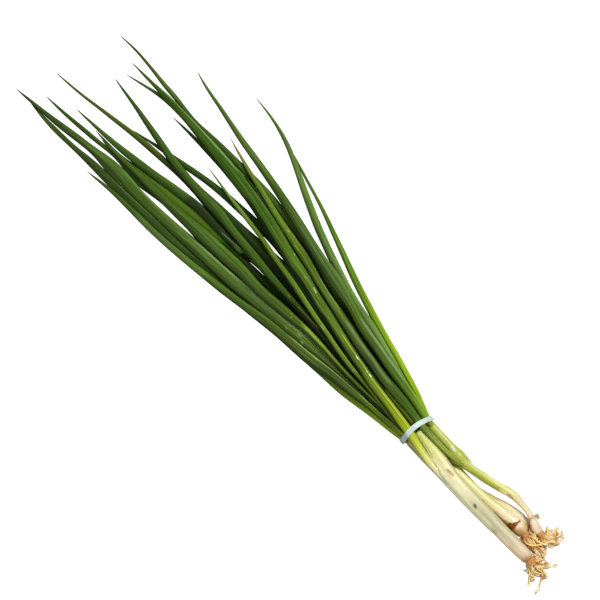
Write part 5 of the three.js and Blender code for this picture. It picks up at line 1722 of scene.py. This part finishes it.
@dataclass
class DrySkin:
    """A torn papery ribbon that lies over stems.

    Its route's rows are x, y and width. Its map length is how long it is in its UV map, in metres.
    """

    stems: Sequence[Stem]
    route: Rows
    seed: int
    thickness: float = 0.16
    clearance: float = 0.45
    rows: int = 48
    columns: int = 8
    drape: int = 24
    raggedness: float = 0.35
    edge_lift: float = 0.25
    ripple: float = 0.12
    map_length: float = 0.02

    def mesh(self, layout: Layout) -> bpy.types.Mesh:
        """Build the ribbon as a thin closed sheet with ragged, lifted edges."""
        draw = np.random.default_rng(self.seed)
        numbered = [(number, *row) for number, row in enumerate(self.route)]
        read = smooth_rows(numbered, np.linspace(0, len(numbered) - 1, self.rows))
        ahead = np.gradient(read[:, :2], axis=0)
        ahead /= np.linalg.norm(ahead, axis=1)[:, None]
        across = np.linspace(-1, 1, self.columns)
        tear = soften(1 + self.raggedness * draw.standard_normal((self.rows, 2)), 1)
        reach = read[:, 2:] / 2 * np.where(across < 0, tear[:, :1], tear[:, 1:]) * across
        x = read[:, :1] - ahead[:, 1:] * reach
        y = read[:, 1:2] + ahead[:, :1] * reach
        lift = self.edge_lift * np.abs(across) ** 3 + self.ripple * np.sin(np.arange(self.rows))[:, None]
        under = self._under(x, y)
        top = np.maximum(under, soften(under, self.drape)) + self.clearance + lift
        outer = np.stack([x, y, top], -1)
        inner = np.stack([x, y, top - self.thickness], -1)
        rings = np.concatenate([outer, inner[:, ::-1]], axis=1)[::-1]
        return grid_mesh("strip", layout.to_part(rings), np.linspace(self.map_length, 0, self.rows))

    def _under(self, x: np.ndarray, y: np.ndarray) -> np.ndarray:
        """The height of the stems' upper sides below each point."""
        heights = np.full(x.shape, 0.3)
        for stem in self.stems:
            middle_y, middle_z, half = (value.reshape(x.shape) for value in stem.middle(x.ravel()))
            aside = np.clip(np.abs(y - middle_y) / half, 0, 1)
            top = middle_z + half * stem.roundness * (1 - aside**stem.squareness) ** (1 / stem.squareness)
            heights = np.maximum(heights, np.where(aside < 1, top, 0))
        return heights


# The band


@dataclass(frozen=True)
class RubberFinish:
    """Pale satin rubber."""

    slot: Slot = Slot.BAND
    colour: int = 0xBDCFC6
    shade: int = 0x9FAEAC
    roughness: float = 0.42

    def material(self, effects: Effects) -> bpy.types.Material:
        """Build the material."""
        material, sheet, shader = start_material("pale_rubber")
        place = sheet.place_in_part()
        patches = effects.place(sheet, Effect.PATCHES, Place=place, Scale=240.0, Seed=3.0)
        grain = sheet.noise(place, 3200.0, 3.0)
        colour = sheet.tint(display_colour(self.colour), patches, 0.5, self.shade)
        sheet.feed(shader.inputs["Base Color"], colour)
        gloss = sheet.ease(grain, 0.2, 0.8, self.roughness - 0.06, self.roughness + 0.1)
        sheet.feed(shader.inputs["Roughness"], gloss)
        sheet.roughen(shader, grain, 0.25, 0.00008)
        shader.inputs["Subsurface Weight"].default_value = 0.2
        shader.inputs["Subsurface Radius"].default_value = (1.0, 1.0, 1.0)
        shader.inputs["Subsurface Scale"].default_value = 0.001
        return material


@dataclass
class RubberBand:
    """A flat band stretched once round the bunch.

    At a place y it lies back along the bunch by bow times the square of the way from bow_y. Smoothing is
    how far round the outline is evened out to either side, in degrees. Its map length is how long it is
    in its UV map, in metres.
    """

    node: str = "rubber_band"
    width: float = 3.4
    thickness: float = 0.7
    edge_radius: float = 0.28
    centre_x: float = 2.7
    bow_y: float = 2.0
    bow: float = 0.018
    steps: int = 160
    smoothing: float = 14.0
    clearance: float = 0.05
    map_length: float = 0.06

    def mesh(self, layout: Layout, tubes: Sequence[Tube]) -> bpy.types.Mesh:
        """Build the band close round all the tubes that it holds.

        Args:
            layout: The bunch's layout.
            tubes: The stems and leaves.

        Returns:
            The band's mesh.
        """
        held = self._held(tubes)
        angles = np.arange(self.steps) * 2 * math.pi / self.steps
        outline = np.array([self._outline(held, angle) for angle in angles])
        ahead, behind = np.roll(outline, -1, axis=0), np.roll(outline, 1, axis=0)
        tangent = ahead - behind
        tangent /= np.linalg.norm(tangent, axis=1)[:, None]
        outward = np.stack([tangent[:, 1], -tangent[:, 0]], -1)
        section = self._section()
        x = self.centre_x - self.bow * (outline[:, 0] - self.bow_y) ** 2
        rings = np.empty((self.steps, len(section), 3))
        for k, (aside, inward) in enumerate(section):
            rings[:, k, 0] = x + aside
            rings[:, k, 1:] = outline - outward * inward
        rings[:, :, 2] = np.maximum(rings[:, :, 2], 0.01)
        closed = np.concatenate([rings, rings[:1]])
        along = np.linspace(0, self.map_length, len(closed))
        return weld(grid_mesh(self.node, layout.to_part(closed[:, ::-1]), along, is_capped=False))

    def _held(self, tubes: Sequence[Tube]) -> np.ndarray:
        """Points (y, z) on the tubes that pass through the band, across its width."""
        turns = np.arange(32) * 2 * math.pi / 32
        points = []
        for tube in tubes:
            y = tube.middle(np.array([self.centre_x]))[0][0]
            middle_x = self.centre_x - self.bow * (y - self.bow_y) ** 2
            for share in (-0.45, 0.0, 0.45):
                place = np.array([middle_x + share * self.width])
                if tube.route[0][0] < place[0] < tube.route[-1][0]:
                    y, z, half_width = tube.middle(place)
                    depth = tube.depth(place)
                    points.append(np.stack([y + half_width * np.cos(turns), z + depth * np.sin(turns)], -1))
        return np.concatenate(points)

    def _outline(self, held: np.ndarray, angle: float) -> np.ndarray:
        """A point (y, z) of the rounded outline, outside the held points that face about that way."""
        window = np.radians(np.linspace(-self.smoothing, self.smoothing, 9))
        found = []
        for turn in angle + window:
            way = np.array([math.cos(turn), math.sin(turn)])
            found.append(held[np.argmax(held @ way)] + way * (self.thickness + self.clearance))
        return np.mean(found, axis=0)

    def _section(self) -> list[tuple[float, float]]:
        """The band's section: (along the bunch, in from the outer face), with rounded edges."""
        half, deep, r = self.width / 2, self.thickness, self.edge_radius
        section = []
        edges = ((half - r, r), (half - r, deep - r), (r - half, deep - r), (r - half, r))
        for quarter, (centre_x, centre_in) in enumerate(edges):
            for k in range(5):
                turn = (quarter + k / 4) * math.pi / 2
                section.append((centre_x + r * math.sin(turn), centre_in - r * math.cos(turn)))
        return section


def weld(mesh: bpy.types.Mesh) -> bpy.types.Mesh:
    """Join the vertices of a mesh that lie in one place."""
    work = bmesh.new()
    work.from_mesh(mesh)
    bmesh.ops.remove_doubles(work, verts=work.verts, dist=1e-7)
    work.to_mesh(mesh)
    work.free()
    mesh.shade_smooth()
    return mesh


# The studio


@dataclass(frozen=True)
class SoftLight:
    """A square soft light that faces the bunch.

    Its bearing is the way round from +X and its elevation how high it stands, both in degrees. Its
    distance and its side are in metres, and its power in watts.
    """

    name: str
    bearing: float
    elevation: float
    distance: float
    size: float
    power: float

    def add(self, centre: Vector) -> None:
        """Put the light in the scene, facing a point."""
        data = bpy.data.lights.new(self.name, "AREA")
        data.energy = self.power
        data.size = self.size
        light = bpy.data.objects.new(self.name, data)
        bpy.context.scene.collection.objects.link(light)
        low, aside = math.radians(self.elevation), math.radians(self.bearing)
        way = Vector((math.cos(low) * math.cos(aside), math.cos(low) * math.sin(aside), math.sin(low)))
        light.location = centre + way * self.distance
        light.rotation_euler = way.to_track_quat("Z", "Y").to_euler()


@dataclass
class Studio:
    """The camera, the soft lights and the floor."""

    view_centre: tuple[float, float] = (104.9, -1.9)
    view_width: float = 0.36
    view_height: float = 0.004
    turn: float = 133.0
    camera_distance: float = 5.0
    sensor: float = 36.0
    floor_size: float = 8.0
    floor_shade: float = 0.5
    floor_glow: float = 0.96
    world_strength: float = 0.06
    lights: tuple[SoftLight, ...] = (
        SoftLight("key", bearing=-90.0, elevation=56.0, distance=1.3, size=0.7, power=18.0),
        SoftLight("fill", bearing=90.0, elevation=60.0, distance=1.4, size=1.2, power=9.5),
    )

    def build(self, layout: Layout) -> None:
        """Put the studio in the scene."""
        centre = layout.place(*self.view_centre)
        self._camera(centre)
        self._floor()
        self._world()
        for light in self.lights:
            light.add(centre)
        bpy.context.scene.view_settings.view_transform = "Standard"

    def _camera(self, centre: Vector) -> None:
        """A camera straight above, turned so that the bunch lies as in the photograph."""
        data = bpy.data.cameras.new("camera")
        data.sensor_width = self.sensor
        data.lens = self.sensor * (self.camera_distance - self.view_height) / self.view_width
        data.clip_end = 30.0
        camera = bpy.data.objects.new("camera", data)
        bpy.context.scene.collection.objects.link(camera)
        turn = math.radians(self.turn)
        right = Vector((math.cos(turn), -math.sin(turn), 0))
        up = Vector((math.sin(turn), math.cos(turn), 0))
        back = Vector((0, 0, 1))
        pose = Matrix((right, up, back)).transposed().to_4x4()
        pose.translation = Vector((centre.x, centre.y, self.camera_distance))
        camera.matrix_world = pose
        bpy.context.scene.camera = camera

    def _floor(self) -> None:
        """A pale floor that shows white and throws little light back, so that shadows on it stay faint."""
        half = self.floor_size / 2
        mesh = bpy.data.meshes.new("floor")
        corners = [(-half, -half, 0), (half, -half, 0), (half, half, 0), (-half, half, 0)]
        mesh.from_pydata(corners, [], [(0, 1, 2, 3)])
        floor = bpy.data.objects.new("floor", mesh)
        bpy.context.scene.collection.objects.link(floor)
        material, sheet, shader = start_material("floor")
        shade = self.floor_shade
        shader.inputs["Base Color"].default_value = (shade, shade, shade, 1)
        shader.inputs["Roughness"].default_value = 0.9
        shader.inputs["Specular IOR Level"].default_value = 0.1
        shader.inputs["Emission Color"].default_value = (1, 1, 1, 1)
        seen = sheet.add("ShaderNodeLightPath").outputs["Is Camera Ray"]
        sheet.feed(shader.inputs["Emission Strength"], sheet.math("MULTIPLY", seen, self.floor_glow))
        mesh.materials.append(material)

    def _world(self) -> None:
        """Even pale light from all round."""
        world = bpy.data.worlds.new("world")
        world.use_nodes = True
        sheet = NodeSheet(world.node_tree)
        background = world.node_tree.nodes["Background"]
        background.inputs["Color"].default_value = (1, 1, 1, 1)
        seen = sheet.add("ShaderNodeLightPath").outputs["Is Camera Ray"]
        sheet.feed(background.inputs["Strength"], sheet.math("MAXIMUM", seen, self.world_strength))
        bpy.context.scene.world = world


def build_bunch(layout: Layout, effects: Effects) -> None:
    """Build and dress every piece of the bunch.

    Args:
        layout: Where the bunch lies in the part.
        effects: The shared surface effects.
    """
    painter = TubePainter(effects, layout)
    stems = {stem.name.removesuffix("_stem"): stem for stem in STEMS}
    for number, stem in enumerate(STEMS):
        stem.read_heights(layout)
        material = painter.material(stem, 7.0 * number + 1.0)
        add_piece(f"{stem.name}_sheath", stem.mesh(layout), material, [stem.name])
    for number, leaf in enumerate(LEAVES):
        leaf.read_heights(layout)
        leaf.sink_foot(stems[leaf.name[: leaf.name.index("_leaf")]])
        material = painter.material(leaf, 5.0 * number + 50.0)
        add_piece(f"{leaf.name}_blade", leaf.mesh(layout), material, [leaf.name])

    fibre = FibreFinish()
    fibre_material = fibre.material(effects)
    tufts = [
        RootTuft(
            stem=stems["onion_1"],
            lobes=(
                (-115.6, 3.9, 1.7, 18), (-112.4, -1.2, 1.6, 12), (-110.2, 9.2, 1.4, 12),
                (-107.4, 8.0, 2.0, 16), (-108.0, 2.0, 2.4, 16), (-112.0, 5.0, 2.4, 12),
                (-106.5, -0.4, 1.4, 8), (-113.2, 10.4, 0.8, 5), (-104.6, -0.8, 1.1, 9),
                (-103.4, -0.5, 0.8, 6), (-104.8, 7.2, 0.7, 6),
            ),
            seed=101,
            arms=((-119.5, 13.6), (-113.0, 13.6), (-115.7, -4.6)),
        ),
        RootTuft(
            stem=stems["onion_2"],
            lobes=(
                (-106.5, -4.8, 1.3, 10), (-104.6, -6.6, 1.6, 14), (-100.5, -2.0, 1.3, 10),
                (-99.0, -6.0, 2.4, 16), (-102.4, -9.2, 1.3, 10), (-96.0, -2.4, 1.7, 12),
                (-94.0, -5.0, 2.0, 12), (-103.0, -1.8, 1.2, 9), (-91.6, -2.0, 1.0, 9),
                (-90.4, -1.2, 0.8, 7),
            ),
            seed=102,
            arms=((-107.5, -0.8), (-104.5, -0.9), (-107.0, -2.8)),
        ),
        RootTuft(
            stem=stems["onion_3"],
            lobes=((-97.0, -9.4, 2.0, 12), (-93.0, -7.6, 1.6, 10)),
            seed=103,
        ),
        RootTuft(
            stem=stems["onion_4"],
            lobes=(
                (-105.0, -11.6, 1.6, 12), (-107.2, -15.8, 1.1, 12), (-104.0, -15.0, 1.6, 10),
                (-103.6, -18.6, 1.0, 9), (-101.4, -20.2, 1.4, 8), (-100.0, -17.2, 1.6, 11),
                (-97.2, -16.2, 1.2, 10), (-101.0, -12.2, 2.0, 10),
            ),
            seed=104,
            arms=((-104.8, -21.4), (-107.3, -19.4)),
        ),
        RootTuft(stem=stems["onion_5"], lobes=((-87.0, 4.2, 1.8, 12),), seed=105),
    ]
    for tuft in tufts:
        plant = tuft.plant
        add_piece(f"{plant}_root_threads", tuft.mesh(layout), fibre_material, [f"{plant}_roots"])

    paper = PaperFinish()
    skins = {
        "onion_4": DrySkin(
            stems=[stems["onion_2"], stems["onion_3"], stems["onion_4"]],
            route=[
                (-92.8, -7.4, 1.2), (-90.6, -8.8, 1.9), (-88.2, -10.2, 1.7), (-86.2, -10.9, 1.2),
                (-85.2, -12.2, 1.3), (-85.4, -14.5, 1.3), (-86.0, -16.6, 1.9), (-87.2, -17.6, 2.3),
                (-88.9, -17.4, 1.5),
            ],
            seed=61,
        ),
        "onion_2": DrySkin(
            stems=[stems["onion_2"]],
            route=[
                (-79.6, -0.1, 5.0), (-80.3, -1.6, 4.2), (-81.0, -3.4, 2.8), (-81.4, -5.5, 1.7),
                (-81.8, -8.2, 0.8),
            ],
            seed=62,
        ),
    }
    darkness = {"onion_4": 0.04, "onion_2": 0.75}
    for plant, skin in skins.items():
        material = paper.material(effects, darkness[plant])
        add_piece(f"{plant}_dry_skin_strip", skin.mesh(layout), material, [f"{plant}_dry_skin"])

    rubber = RubberFinish()
    band = RubberBand()
    loop = band.mesh(layout, [*STEMS, *LEAVES])
    add_piece("rubber_band_loop", loop, rubber.material(effects), [band.node])


def main() -> None:
    """Build the bunch and its studio."""
    logging.basicConfig(level=logging.INFO, format="%(name)s: %(message)s", stream=sys.stdout)
    layout = Layout()
    Studio().build(layout)
    build_bunch(layout, Effects())


if __name__ == "__main__":
    main()
